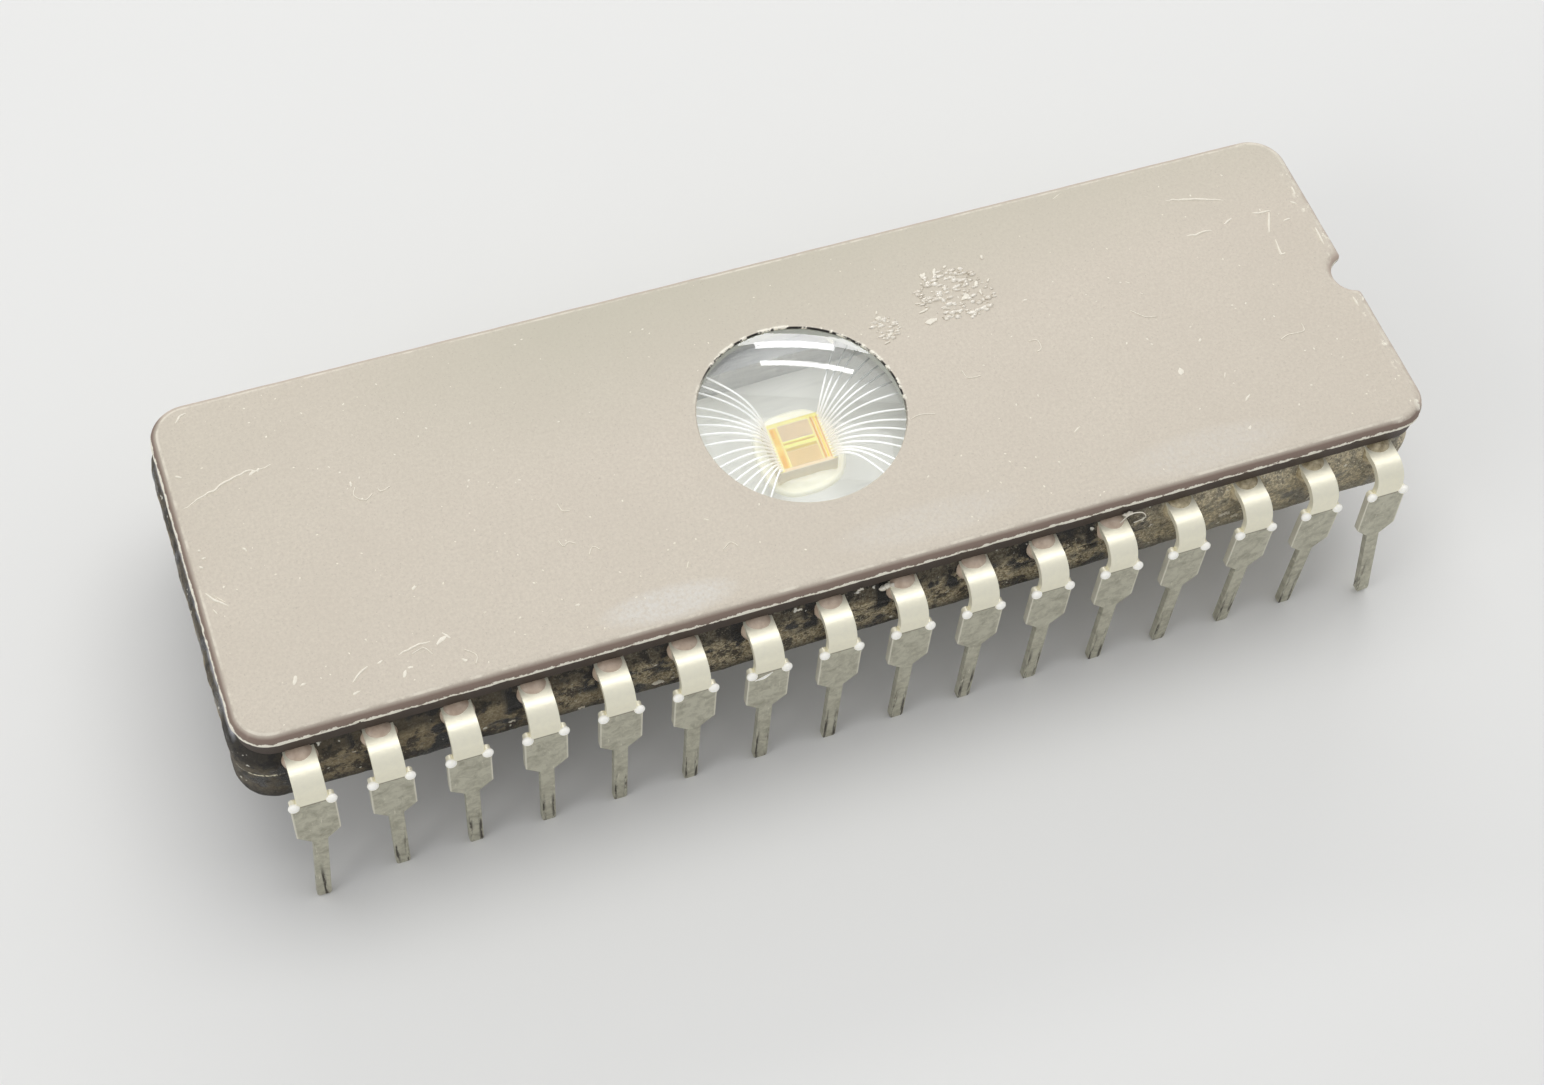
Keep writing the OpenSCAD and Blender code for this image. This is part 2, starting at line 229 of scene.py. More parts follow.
def makeLidMaterial(look):
    lid = Finish("lidCeramic")
    point = lid.point()
    x, y, height = lid.split(point)
    fine = lid.noise(point, 9, 6, 0.7)
    broad = lid.noise(point, 0.25, 4, 0.6)
    pits = lid.noise(point, 16, 3, 0.6)
    lid.base = lid.blend(lid.ramp(fine, 0.3, 0.75), look["topDark"], look["top"])
    lid.coat(lid.ramp(broad, 0.3, 0.7, 0.0, 0.35), look["topDark"])
    # Painted shade: darker towards the back, less so at the plain end
    away = lid.minus(y, lid.times(x, 0.12))
    backShade = lid.times(lid.ramp(away, 1.0, 6.5, 0.0, 0.8), lid.ramp(x, -15, -7, 0.2, 1.0))
    lid.coat(backShade, look["back"])
    lid.coat(lid.ramp(pits, 0.62, 0.74, 0.0, 0.6), look["pit"])
    rubbed = lid.ramp(lid.noise(point, 6, 5, 0.7), 0.3, 0.6)
    for middleX, middleY, halfLong, halfWide, strength in look["scuffs"]:
        offX = lid.times(lid.minus(x, middleX), 1 / halfLong)
        offY = lid.times(lid.minus(y, middleY), 1 / halfWide)
        reach = lid.plus(lid.times(offX, offX), lid.times(offY, offY))
        zone = lid.times(lid.ramp(reach, 1.0, 0.3, 0.0, strength), rubbed)
        lid.coat(zone, look["scuff"])
    # The rounding: the ceramic's mauve, darkened by painted shade, less so along the front and left edges
    near = lid.maths("MAXIMUM", lid.ramp(y, *look["nearY"]), lid.ramp(x, *look["nearX"]))
    rounding = lid.blend(near, look["bandPale"], look["band"])
    lid.coat(lid.ramp(height, *look["roundRange"]), rounding)
    # Painted highlight along the crest above the rounding, wider at the notch end, broken by noise
    crestHighlight = lid.ramp(lid.off(height, look["crestHeight"]), 0.02, 0.008)
    atNotch = lid.ramp(lid.off(height, look["notchCrest"]), 0.06, 0.03)
    atNotch = lid.times(lid.ramp(x, *look["notchFrom"]), atNotch)
    crestHighlight = lid.maths("MAXIMUM", crestHighlight, atNotch)
    patchy = lid.ramp(lid.noise(point, 0.8, 5, 0.8), 0.44, 0.58, 0.1, 0.75)
    lid.coat(lid.times(crestHighlight, patchy), look["crestHighlight"])
    scrape = lid.ramp(lid.noise(point, 1.9, 5, 0.75), 0.58, 0.63, 0.0, 0.9)
    lid.coat(lid.times(scrape, lid.ramp(x, *look["scrapeFrom"])), look["chip"])
    # Painted shade on the undercut side below the pale edge
    low = lid.ramp(height, look["edgeHeight"] - 0.02, look["edgeHeight"] - 0.08)
    lid.coat(low, look["side"])
    # The pale line, broken where the edge is not chipped, and widened along the plain end into a painted highlight
    off = lid.off(height, look["edgeHeight"])
    ragged = lid.noise(point, 1.7, 6, 0.8)
    width = lid.ramp(ragged, 0.36, 0.6, 0.004, look["edgeWidth"])
    width = lid.plus(width, lid.ramp(x, *look["wideFrom"], 0.0, 0.12))
    lid.coat(lid.ramp(lid.minus(width, off), 0.0, 0.02), look["chip"])
    # Round the window: a dark line at the back, which is painted shade where the lens sits below the lid, with chips
    # outside it
    beyond = lid.minus(lid.away(x, y), look["rimRadius"])
    behind = lid.ramp(lid.plus(y, lid.times(x, 0.5)), -0.5, 1.5)
    dark = lid.times(lid.ramp(lid.off(beyond), 0.035, 0.02), behind)
    lid.coat(dark, look["rimShade"])
    flakes = lid.ramp(lid.noise(point, 2.6, 6, 0.75), 0.5, 0.55)
    lid.coat(lid.times(flakes, lid.ramp(beyond, 0.12, 0.06), behind), look["chip"])
    inHole = lid.times(lid.inside(x, y), lid.ramp(height, *look["mouthRange"]))
    lid.coat(inHole, look["mouth"])
    lid.set({"Base Color": lid.base, "Roughness": look["roughness"]})
    lid.bump(fine, 0.00002, 0.6)
    return lid.material


# Tinned leads: greyer and mottled on the face, cream-bright on the bend as painted light, with painted highlights on
# the side edges and dark streaks on the pins
leadLook = {
    "bend": (255, 250, 226),
    "face": (198, 195, 175),
    "dull": (162, 158, 139),
    "edge": (236, 232, 214),
    "line": (112, 104, 86),
    "stain": (64, 57, 46),
    "bendLow": 5.93,
    "pitch": 2.54,
    "metallic": 0.35,
    "roughness": 0.42,
}


# Base ceramic and seal glass: golden-brown frit with glossy black patches, made near-black by painted shade above and
# below its brightest band, with painted shadows, highlights and glints; grey inside, where the window shows them
sealLook = {
    "dark": (20, 16, 12),
    "brown": (138, 122, 92),
    "umber": (46, 37, 27),
    "speckle": (250, 240, 212),
    "gold": (226, 212, 176),
    "glint": (238, 234, 220),
    "sheen": (216, 216, 222),
    "goldEnd": (8.0, 13.0),
    "plainEnd": (-14.0, -5.0),
    "sheenX": (-20.72, -20.82),
    "sheenY": (5.6, 5.2),
    "sheenHeight": (6.95, 7.15),
    "ribHeight": 6.1,
    "inside": (214, 214, 210),
    "insideDark": (190, 190, 187),
    "ledge": (244, 236, 206),
    "roughness": (0.62, 0.14),  # of the frit, then of its black patches
}


def makeFritMaterial(name, look, patchScale, patchLow, patchHigh, golden):
    # Mottled frit with glossy black patches; golden is the height range where it is left bright, with painted shade
    # above and below it
    frit = Finish(name)
    point = frit.point()
    x, y, height = frit.split(point)
    patches = frit.noise(point, patchScale, 3, 0.6)
    grain = frit.noise(point, 9, 6, 0.75)
    mottle = frit.noise(point, 2.2, 4, 0.65)
    speckle = frit.noise(point, 15, 3, 0.6)
    golds = frit.times(frit.ramp(grain, 0.44, 0.6), frit.ramp(x, *look["plainEnd"], 0.3, 1.0))
    frit.base = frit.blend(golds, look["brown"], look["gold"])
    frit.coat(frit.ramp(mottle, 0.5, 0.58, 0.0, 0.85), look["umber"])
    specks = frit.ramp(speckle, 0.58, 0.66, 0.0, 0.9)
    specks = frit.times(specks, frit.ramp(x, *look["plainEnd"], 0.35, 1.0))
    frit.coat(specks, look["speckle"])
    # Painted shade: near-black below the golden range and above it under the lid; the upper limit climbs towards the
    # notch end
    high = frit.minus(height, frit.ramp(x, *look["goldEnd"], 0.0, 0.8))
    shade = frit.ramp(height, golden[0] - 0.5, golden[0])
    shade = frit.times(shade, frit.ramp(high, golden[1] + 0.4, golden[1]))
    frit.coat(frit.ramp(shade, 0, 1, 0.75, 0.0), look["dark"])
    step = frit.maths("FRACT", frit.plus(frit.times(x, 1 / leadLook["pitch"]), 20.0))
    # Painted shadow just beside each lead's neck, where the lead casts it; it joins the glossy black patches
    neckShadow = frit.times(
        frit.ramp(step, 0.06, 0.16), frit.ramp(step, 0.38, 0.32), frit.ramp(frit.noise(point, 1.3, 3, 0.6), 0.44, 0.52),
        frit.ramp(x, *reversed(look["goldEnd"])), frit.ramp(height, 5.5, 5.9),
    )
    patchesAndShadow = frit.maths("MAXIMUM", frit.ramp(patches, patchLow, patchHigh), neckShadow)
    frit.coat(patchesAndShadow, look["dark"])
    pale = frit.times(frit.ramp(x, *look["goldEnd"], 0.0, 0.5), grain)
    frit.coat(pale, look["speckle"])
    # Painted shade at the front-left corner
    frit.coat(frit.ramp(frit.plus(x, y), -25.0, -26.2, 0.0, 0.7), look["dark"])
    # Painted sheen: a pale bluish highlight on the plain end's face just under the lid
    side = frit.times(
        frit.ramp(x, *look["sheenX"]), frit.ramp(frit.off(y), *look["sheenY"]),
        frit.ramp(height, *look["sheenHeight"]), frit.ramp(mottle, 0.4, 0.5, 0.3, 0.8),
    )
    frit.coat(side, look["sheen"])
    # Painted highlight along the rib, broken by the grain, strongest at the front-left corner
    rib = frit.off(height, look["ribHeight"])
    corner = frit.ramp(frit.plus(x, y), -25.6, -26.4, 0.5, 0.36)
    shine = frit.ramp(frit.minus(grain, corner), 0.1, 0.16)
    shine = frit.times(frit.ramp(rib, 0.07, 0.03), shine)
    frit.coat(shine, look["ledge"])
    # Painted glints
    spots = frit.noise(frit.point((3, 5, 1)), 3.1, 2, 0.5)
    frit.coat(frit.ramp(spots, 0.69, 0.73), look["glint"])
    streaks = frit.noise(frit.point(stretch=(0.5, 6, 6)), 1.5, 5, 0.7)
    grey = frit.blend(frit.ramp(streaks, 0.35, 0.65), look["insideDark"], look["inside"])
    frit.coat(frit.inside(x, y), grey)
    frit.set({"Base Color": frit.base, "Roughness": frit.ramp(patchesAndShadow, 0, 1, *look["roughness"])})
    frit.bump(grain, 0.00005, 0.8)
    return frit.material


def makeLeadMaterial(look):
    tin = Finish("tinnedLead")
    point = tin.point()
    x, y, height = tin.split(point)
    grain = tin.noise(point, 6, 5, 0.65)
    mottle = tin.noise(point, 2.6, 6, 0.72, 0.5)
    streaks = tin.noise(tin.point(stretch=(6, 6, 0.7)), 1.2, 5, 0.7)
    scratches = tin.noise(tin.point((1, 2, 3), (5, 1, 0.8)), 2.4, 4, 0.6)
    # Distance from the lead's own middle
    step = tin.maths("FRACT", tin.plus(tin.times(x, 1 / look["pitch"]), 20.0))
    across = tin.times(tin.off(step, 0.5), look["pitch"])
    tin.base = tin.blend(tin.ramp(mottle, 0.42, 0.66), look["face"], look["dull"])
    tin.coat(tin.ramp(scratches, 0.64, 0.7, 0.0, 0.6), look["edge"])
    # Painted highlight along the side edges
    tin.coat(tin.ramp(across, 0.66, 0.7, 0.0, 0.8), look["edge"])
    pinEdge = tin.times(tin.ramp(across, 0.08, 0.15), tin.ramp(across, 0.235, 0.2))
    tin.coat(tin.times(pinEdge, tin.ramp(height, 2.2, 1.3), tin.ramp(streaks, 0.46, 0.56)), look["stain"])
    # Painted light: the bend, which faces up, cream-bright
    onBend = tin.ramp(height, look["bendLow"] - 0.02, look["bendLow"] + 0.03)
    bright = tin.blend(tin.ramp(grain, 0.4, 0.75, 0.0, 0.3), look["bend"], look["edge"])
    tin.coat(onBend, bright)
    off = tin.off(height, look["bendLow"])
    under = tin.times(tin.ramp(off, 0.04, 0.02), tin.ramp(across, 0.56, 0.5))
    tin.coat(tin.times(under, 0.7), look["line"])
    tin.set({"Base Color": tin.base, "Metallic": look["metallic"], "Roughness": look["roughness"]})
    tin.bump(grain, 0.00002, 0.5)
    return tin.material


def makeGlassMaterial():
    glass = Finish("windowGlass")
    glass.shader.inputs["Base Color"].default_value = (0.97, 0.985, 0.98, 1)
    glass.set({"IOR": 1.47, "Roughness": 0.02, "Transmission Weight": 1.0})
    output = glass.tree.nodes["Material Output"]
    clear = addNode(glass.tree, "ShaderNodeBsdfTransparent")
    rays = addNode(glass.tree, "ShaderNodeLightPath")
    mix = addNode(glass.tree, "ShaderNodeMixShader")
    passing = glass.maths("MAXIMUM", rays.outputs["Is Shadow Ray"], rays.outputs["Is Diffuse Ray"])
    for socket, value in zip(mix.inputs, (passing, glass.shader.outputs[0], clear.outputs[0])):
        glass.feed(socket, value)
    glass.feed(output.inputs["Surface"], mix.outputs[0])
    return glass.material


def makePlainMaterial(name, colour, other, scale, roughness, glow=0.0):
    plain = Finish(name)
    grain = plain.noise(plain.point(), scale, 4, 0.6)
    plain.base = plain.blend(plain.ramp(grain, 0.3, 0.7), colour, other)
    plain.set({"Base Color": plain.base, "Roughness": roughness})
    if glow:
        plain.set({"Emission Color": plain.base, "Emission Strength": glow})
    return plain.material


# Metal fired onto the well's floor, with brushed streaks; painted shade makes it darker towards the back right, and a
# painted glow brightens it towards the window's edge, most at the left
platingLook = {
    "front": (236, 235, 226),
    "back": (228, 227, 218),
    "streak": (202, 201, 193),
    "glow": 0.26,
    "roughness": 0.4,
}


def makePlatingMaterial(look):
    metal = Finish("floorPlating")
    x, y, height = metal.split(metal.point())
    # Painted shade: darker towards the back right
    slant = metal.plus(y, metal.times(x, 0.4))
    metal.base = metal.blend(metal.ramp(slant, -2.5, 2.8), look["front"], look["back"])
    streaks = metal.noise(metal.point(stretch=(0.5, 6, 1)), 1.5, 5, 0.7)
    metal.coat(metal.ramp(streaks, 0.5, 0.75, 0.0, 0.5), look["streak"])
    # Painted glow towards the window's edge, most at the left
    glow = metal.ramp(metal.away(x, y), 2.2, 3.2, 0.0, look["glow"])
    glow = metal.times(glow, metal.ramp(x, -2.6, -1.2, 1.0, 0.35))
    metal.set({
        "Base Color": metal.base, "Emission Color": metal.base, "Emission Strength": glow,
        "Roughness": look["roughness"],
    })
    return metal.material


# Bond wires: painted highlights, bright with a painted glow, and painted shade where they run under the lid at the back
# right; less painted highlight near the die
wireLook = {
    "bright": (255, 255, 250),
    "dull": (162, 164, 157),
    "foot": (226, 218, 198),
    "footRange": (1.2, 1.6),
    "shadow": (1.95, 2.3),
    "glow": 0.24,
    "roughness": 0.3,
}


def makeWireMaterial(look):
    wire = Finish("bondWire")
    x, y, height = wire.split(wire.point())
    # Painted highlight, with painted shade at the back right and less highlight near the die; a painted glow on the lit
    # part
    slant = wire.plus(wire.times(y, 0.75), wire.times(x, 0.55))
    wire.base = wire.blend(wire.ramp(slant, *look["shadow"]), look["bright"], look["dull"])
    wire.base = wire.blend(wire.ramp(wire.away(x, y), *look["footRange"]), look["foot"], wire.base)
    glow = wire.ramp(slant, *look["shadow"], look["glow"], 0.0)
    wire.set({
        "Base Color": wire.base, "Emission Color": (255, 255, 255), "Emission Strength": glow,
        "Roughness": look["roughness"],
    })
    return wire.material


lidMaterial = makeLidMaterial(lidLook)
sealMaterial = makeFritMaterial("sealGlass", sealLook, 0.9, 0.52, 0.62, (6.05, 6.35))
baseMaterial = makeFritMaterial("baseCeramic", sealLook, 0.8, 0.56, 0.66, (5.2, 6.2))
leadMaterial = makeLeadMaterial(leadLook)
glassMaterial = makeGlassMaterial()
platingMaterial = makePlatingMaterial(platingLook)
# The glow on the pool and the die is painted light, which brightens them under the window
attachMaterial = makePlainMaterial("dieAttach", (255, 253, 234), (248, 244, 222), 5, 0.45, glow=0.16)
dieMaterial = makePlainMaterial("silicon", (240, 230, 206), (228, 216, 190), 4, 0.8, glow=0.06)
wireMaterial = makeWireMaterial(wireLook)
beadMaterial = makePlainMaterial("beadGlass", (226, 206, 184), (194, 170, 148), 3, 0.3)
endBeadMaterial = makePlainMaterial("endBeadGlass", (226, 212, 176), (150, 134, 102), 5, 0.3)
# The glow on the sheared tin is painted light
nubMaterial = makePlainMaterial("shearedTin", (255, 254, 248), (246, 243, 232), 8, 0.35, glow=0.14)
dustMaterial = makePlainMaterial("dust", (250, 244, 228), (236, 228, 210), 8, 0.7)
residueMaterial = makePlainMaterial("residue", (250, 244, 230), (206, 195, 176), 4, 0.22)


def fieldMaterial(name, colour):
    darker = tuple(round(c * 0.93) for c in colour)
    # The glow on the die's fields is painted light
    return makePlainMaterial(name, colour, darker, 6, 0.8, glow=0.07)


# Mesh building, in mm
def declare(piece, slot=None, *replaced):
    # Every piece rides on the one body
    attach(piece, "root")
    if replaced:
        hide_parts(*replaced)


class Shell:
    # Points and faces gathered for one mesh
    def __init__(self):
        self.points = []
        self.faces = []

    def ring(self, points):
        start = len(self.points)
        self.points.extend(points)
        return list(range(start, start + len(points)))

    def band(self, low, high):
        count = len(low)
        for i in range(count):
            j = (i + 1) % count
            self.faces.append((low[i], low[j], high[j], high[i]))

    def cap(self, *loops):
        # Fills a flat loop, or the space between a loop and the holes in it
        flat = bmesh.new()
        tag = flat.verts.layers.int.new("tag")
        edges = []
        for loop in loops:
            made = [flat.verts.new(self.points[i]) for i in loop]
            for vert, i in zip(made, loop):
                vert[tag] = i
            edges += [flat.edges.new((made[k], made[(k + 1) % len(made)])) for k in range(len(made))]
        bmesh.ops.triangle_fill(flat, use_beauty=True, use_dissolve=False, edges=edges)
        self.faces.extend(tuple(v[tag] for v in face.verts) for face in flat.faces)
        flat.free()

    def loft(self, rings):
        for low, high in zip(rings, rings[1:]):
            self.band(low, high)

    def close(self, rings):
        # A skin over the rings, with the first and the last filled in
        self.loft(rings)
        self.faces.append(tuple(reversed(rings[0])))
        self.faces.append(tuple(rings[-1]))

    def piece(self, name, material, flat=False, sharp=None):
        # The finished object, with edges past the sharp angle left hard
        mesh = bpy.data.meshes.new(name)
        mesh.from_pydata([Vector(p) * mm for p in self.points], [], self.faces)
        shape = bmesh.new()
        shape.from_mesh(mesh)
        bmesh.ops.recalc_face_normals(shape, faces=shape.faces)
        for face in shape.faces:
            face.smooth = not flat
        shape.to_mesh(mesh)
        shape.free()
        mesh.materials.append(material)
        if sharp:
            mesh.set_sharp_from_angle(angle=math.radians(sharp))
        return inScene(name, mesh)


# Node trees for what repeats or follows a path, each ending in Realize Instances and Set Material
def newTree(name, **sockets):
    tree = bpy.data.node_groups.new(name, "GeometryNodeTree")
    tree.interface.new_socket(name="Geometry", in_out="OUTPUT", socket_type="NodeSocketGeometry")
    for label, kind in {"Geometry": "Geometry", **sockets, "Material": "Material"}.items():
        tree.interface.new_socket(name=label, in_out="INPUT", socket_type="NodeSocket" + kind)
    return tree, addNode(tree, "NodeGroupInput"), addNode(tree, "NodeGroupOutput")


def socketOf(sockets, name):
    # By number, or the socket of that name that is in use, where a node has one for each kind of value
    if isinstance(name, int):
        return sockets[name]
    return next(socket for socket in sockets if socket.name == name and socket.enabled)


def join(tree, *links):
    # Each link: a node and its output, then the node and the input that take it
    for giver, output, taker, entry in links:
        tree.links.new(socketOf(giver.outputs, output), socketOf(taker.inputs, entry))


def finishTree(tree, start, end, last, output):
    real = addNode(tree, "GeometryNodeRealizeInstances")
    dye = addNode(tree, "GeometryNodeSetMaterial")
    join(
        tree, (last, output, real, "Geometry"), (real, "Geometry", dye, "Geometry"),
        (start, "Material", dye, "Material"), (dye, "Geometry", end, "Geometry"),
    )
    return tree


def makeSweepTree():
    # A round section swept along every path
    tree, start, end = newTree("sweepAlongPaths", Radius="Float", Sides="Int")
    paths = addNode(tree, "GeometryNodeMeshToCurve")
    section = addNode(tree, "GeometryNodeCurvePrimitiveCircle", mode="RADIUS")
    sweep = addNode(tree, "GeometryNodeCurveToMesh")
    sweep.inputs["Fill Caps"].default_value = True
    join(
        tree, (start, "Geometry", paths, "Mesh"), (start, "Sides", section, "Resolution"),
        (start, "Radius", section, "Radius"), (paths, "Curve", sweep, "Curve"),
        (section, "Curve", sweep, "Profile Curve"),
    )
    return finishTree(tree, start, end, sweep, "Mesh")


def makeBlockTree():
    # The same small block on every point
    tree, start, end = newTree("blocksOnPoints", Size="Vector")
    block = addNode(tree, "GeometryNodeMeshCube")
    place = addNode(tree, "GeometryNodeInstanceOnPoints")
    join(
        tree, (start, "Size", block, "Size"), (start, "Geometry", place, "Points"),
        (block, "Mesh", place, "Instance"),
    )
    return finishTree(tree, start, end, place, "Instances")


def makeLumpTree():
    # A slightly lumpy ellipsoid on every point
    tree, start, end = newTree(
        "lumpsOnPoints", Radii="Vector", Segments="Int", Rings="Int", Lump="Float", **{"Lump Scale": "Float"}
    )
    lump = addNode(tree, "GeometryNodeMeshUVSphere")
    place = addNode(tree, "GeometryNodeInstanceOnPoints")
    real = addNode(tree, "GeometryNodeRealizeInstances")
    grain = addNode(tree, "ShaderNodeTexNoise")
    normal = addNode(tree, "GeometryNodeInputNormal")
    height = addNode(tree, "ShaderNodeMath", operation="MULTIPLY_ADD")
    amount = addNode(tree, "ShaderNodeMath", operation="MULTIPLY")
    push = addNode(tree, "ShaderNodeVectorMath", operation="SCALE")
    moved = addNode(tree, "GeometryNodeSetPosition")
    lump.inputs["Radius"].default_value = 1
    height.inputs[1].default_value, height.inputs[2].default_value = 2, -1
    join(
        tree, (start, "Segments", lump, "Segments"), (start, "Rings", lump, "Rings"),
        (start, "Geometry", place, "Points"), (lump, "Mesh", place, "Instance"), (start, "Radii", place, "Scale"),
        (place, "Instances", real, "Geometry"), (start, "Lump Scale", grain, "Scale"), (grain, "Fac", height, 0),
        (height, 0, amount, 0), (start, "Lump", amount, 1), (normal, "Normal", push, "Vector"),
        (amount, 0, push, "Scale"), (real, "Geometry", moved, "Geometry"), (push, "Vector", moved, "Offset"),
    )
    return finishTree(tree, start, end, moved, "Geometry")


def makeSpeckTree():
    # Flat specks strewn over a face, with none inside the clear radius
    tree, start, end = newTree(
        "specksOnFace", Density="Float", Smallest="Float", Largest="Float", Clear="Float", Seed="Int"
    )
    strew = addNode(tree, "GeometryNodeDistributePointsOnFaces")
    where = addNode(tree, "GeometryNodeInputPosition")
    flat = addNode(tree, "ShaderNodeVectorMath", operation="MULTIPLY")
    away = addNode(tree, "ShaderNodeVectorMath", operation="LENGTH")
    inside = addNode(tree, "FunctionNodeCompare", operation="LESS_THAN")
    clear = addNode(tree, "GeometryNodeDeleteGeometry")
    speck = addNode(tree, "GeometryNodeMeshIcoSphere")
    shaped = addNode(tree, "GeometryNodeTransform")
    size = addNode(tree, "FunctionNodeRandomValue")
    turn = addNode(tree, "FunctionNodeRandomValue", data_type="FLOAT_VECTOR")
    place = addNode(tree, "GeometryNodeInstanceOnPoints")
    flat.inputs[1].default_value = (1, 1, 0)
    speck.inputs["Radius"].default_value = 1
    shaped.inputs["Scale"].default_value = (1.2, 0.7, 0.4)
    socketOf(turn.inputs, "Min").default_value = (0, 0, 0)
    socketOf(turn.inputs, "Max").default_value = (0, 0, 2 * math.pi)
    join(
        tree, (start, "Geometry", strew, "Mesh"), (start, "Density", strew, "Density"), (start, "Seed", strew, "Seed"),
        (where, "Position", flat, 0), (flat, "Vector", away, 0), (away, "Value", inside, "A"),
        (start, "Clear", inside, "B"), (strew, "Points", clear, "Geometry"), (inside, "Result", clear, "Selection"),
        (speck, "Mesh", shaped, "Geometry"), (start, "Smallest", size, "Min"), (start, "Largest", size, "Max"),
        (start, "Seed", size, "Seed"), (clear, "Geometry", place, "Points"), (shaped, "Geometry", place, "Instance"),
        (size, "Value", place, "Scale"), (turn, "Value", place, "Rotation"),
    )
    return finishTree(tree, start, end, place, "Instances")


sweepTree, blockTree, lumpTree, speckTree = makeSweepTree(), makeBlockTree(), makeLumpTree(), makeSpeckTree()


def nodePiece(name, tree, paths, values, material, faces=(), flat=False, sharp=None):
    # Runs a tree on points, on paths or on faces in mm, and keeps the result as a plain mesh
    points, edges = [], []
    for path in paths:
        edges += [(len(points) + i, len(points) + i + 1) for i in range(len(path) - 1)] if not faces else []
        points += [Vector(p) * mm for p in path]
    mesh = bpy.data.meshes.new(name + "Source")
    mesh.from_pydata(points, edges, faces)
    piece = inScene(name, mesh)
    shape = piece.modifiers.new("shape", "NODES")
    shape.node_group = tree
    values = {"Material": material, **values}
    for item in tree.interface.items_tree:
        if item.in_out == "INPUT" and item.name in values:
            shape[item.identifier] = values[item.name]
    made = bpy.data.meshes.new_from_object(piece.evaluated_get(bpy.context.evaluated_depsgraph_get()))
    piece.modifiers.remove(shape)
    made.name = name
    piece.data = made
    for face in made.polygons:
        face.use_smooth = not flat
    if sharp:
        made.set_sharp_from_angle(angle=math.radians(sharp))
    return piece


def arc(cx, cy, radius, start, end, count):
    return [
        (cx + radius * math.cos(a), cy + radius * math.sin(a))
        for a in (math.radians(start + (end - start) * i / count) for i in range(count + 1))
    ]


def line(a, b, count):
    # Points from a towards b, with neither end
    return [(a[0] + (b[0] - a[0]) * i / count, a[1] + (b[1] - a[1]) * i / count) for i in range(1, count)]


# The body's outline, which the base, the seal and the lid share
bodySize = {
    "length": 41.8,
    "width": 13.2,
    "corner": 1.3,
    "baseShift": -0.17,
    "notchX": 20.97,
    "notchY": -0.1,
    "notchRadius": 0.75,
    "lip": 0.16,
}


def bodyOutline(inset, shift=0.0, step=0.16):
    size = bodySize
    endX = size["length"] / 2 + shift - inset
    backX = -size["length"] / 2 + shift + inset
    halfWidth = size["width"] / 2 - inset
    radius = size["corner"] - inset
    lip = size["lip"]
    notch = size["notchRadius"] + inset
    nx, ny = size["notchX"], size["notchY"]
    cx = endX - lip
    rise = math.sqrt((notch + lip) ** 2 - (cx - nx) ** 2)
    turn = math.degrees(math.atan2(rise, nx - cx))
    longCount = int(size["length"] / step)
    endCount = int(size["width"] / step)
    inX, outX = backX + radius, endX - radius
    inY = halfWidth - radius
    points = arc(cx, ny + rise, lip, -turn, 0, 4)
    points += line((endX, ny + rise), (endX, inY), endCount // 2)
    points += arc(outX, inY, radius, 0, 90, 12)
    points += line((outX, halfWidth), (inX, halfWidth), longCount)
    points += arc(inX, inY, radius, 90, 180, 12)
    points += line((backX, inY), (backX, -inY), endCount)
    points += arc(inX, -inY, radius, 180, 270, 12)
    points += line((inX, -halfWidth), (outX, -halfWidth), longCount)
    points += arc(outX, -inY, radius, 270, 360, 12)
    points += line((endX, -inY), (endX, ny - rise), endCount // 2)
    points += arc(cx, ny - rise, lip, 0, turn, 4)
    points += arc(nx, ny, notch, 180 + turn, 180 - turn, 14)[1:-1]
    return points


def pushed(outline, z, push):
    # The outline at height z, with each point moved outward by push(x, y, z)
    count = len(outline)
    out = []
    for i, (x, y) in enumerate(outline):
        ax, ay = outline[i - 1]
        bx, by = outline[(i + 1) % count]
        tx, ty = bx - ax, by - ay
        size = math.hypot(tx, ty) or 1
        amount = push(x, y, z)
        out.append((x + ty / size * amount, y - tx / size * amount, z))
    return out


def relief(x, y, z, scale, seed=0.0):
    return noise.noise(Vector((x * scale + seed, y * scale, z * scale)))


def rounded(halfX, halfY, radius, z, count=8):
    points = arc(halfX - radius, halfY - radius, radius, 0, 90, count)
    points += arc(radius - halfX, halfY - radius, radius, 90, 180, count)
    points += arc(radius - halfX, radius - halfY, radius, 180, 270, count)
    points += arc(halfX - radius, radius - halfY, radius, 270, 360, count)
    return [(x, y, z) for x, y in points]


def circle(radius, z, count=128):
    return [(x, y, z) for x, y in arc(0, 0, radius, 0, 360, count)[:-1]]


# Heights in mm, from the lead tips up
level = {
    "baseLow": 4.4,
    "slopeLow": 6.05,
    "baseTop": 6.65,
    "leadLow": 6.85,
    "leadTop": 7.1,
    "lidLow": 7.25,
    "pocketTop": 7.5,
    "lidTop": 8.35,
    "wellFloor": 5.55,
}
well = {"halfX": 4.6, "halfY": 2.95, "corner": 0.6, "ledge": 0.65, "ledgeCorner": 1.25, "window": 3.555}


def wellRing(shell, z, ledge=0):
    # The well's outline at height z, or that of the ledge round it
    corner = well["ledgeCorner"] if ledge else well["corner"]
    return shell.ring(rounded(well["halfX"] + ledge, well["halfY"] + ledge, corner, z))


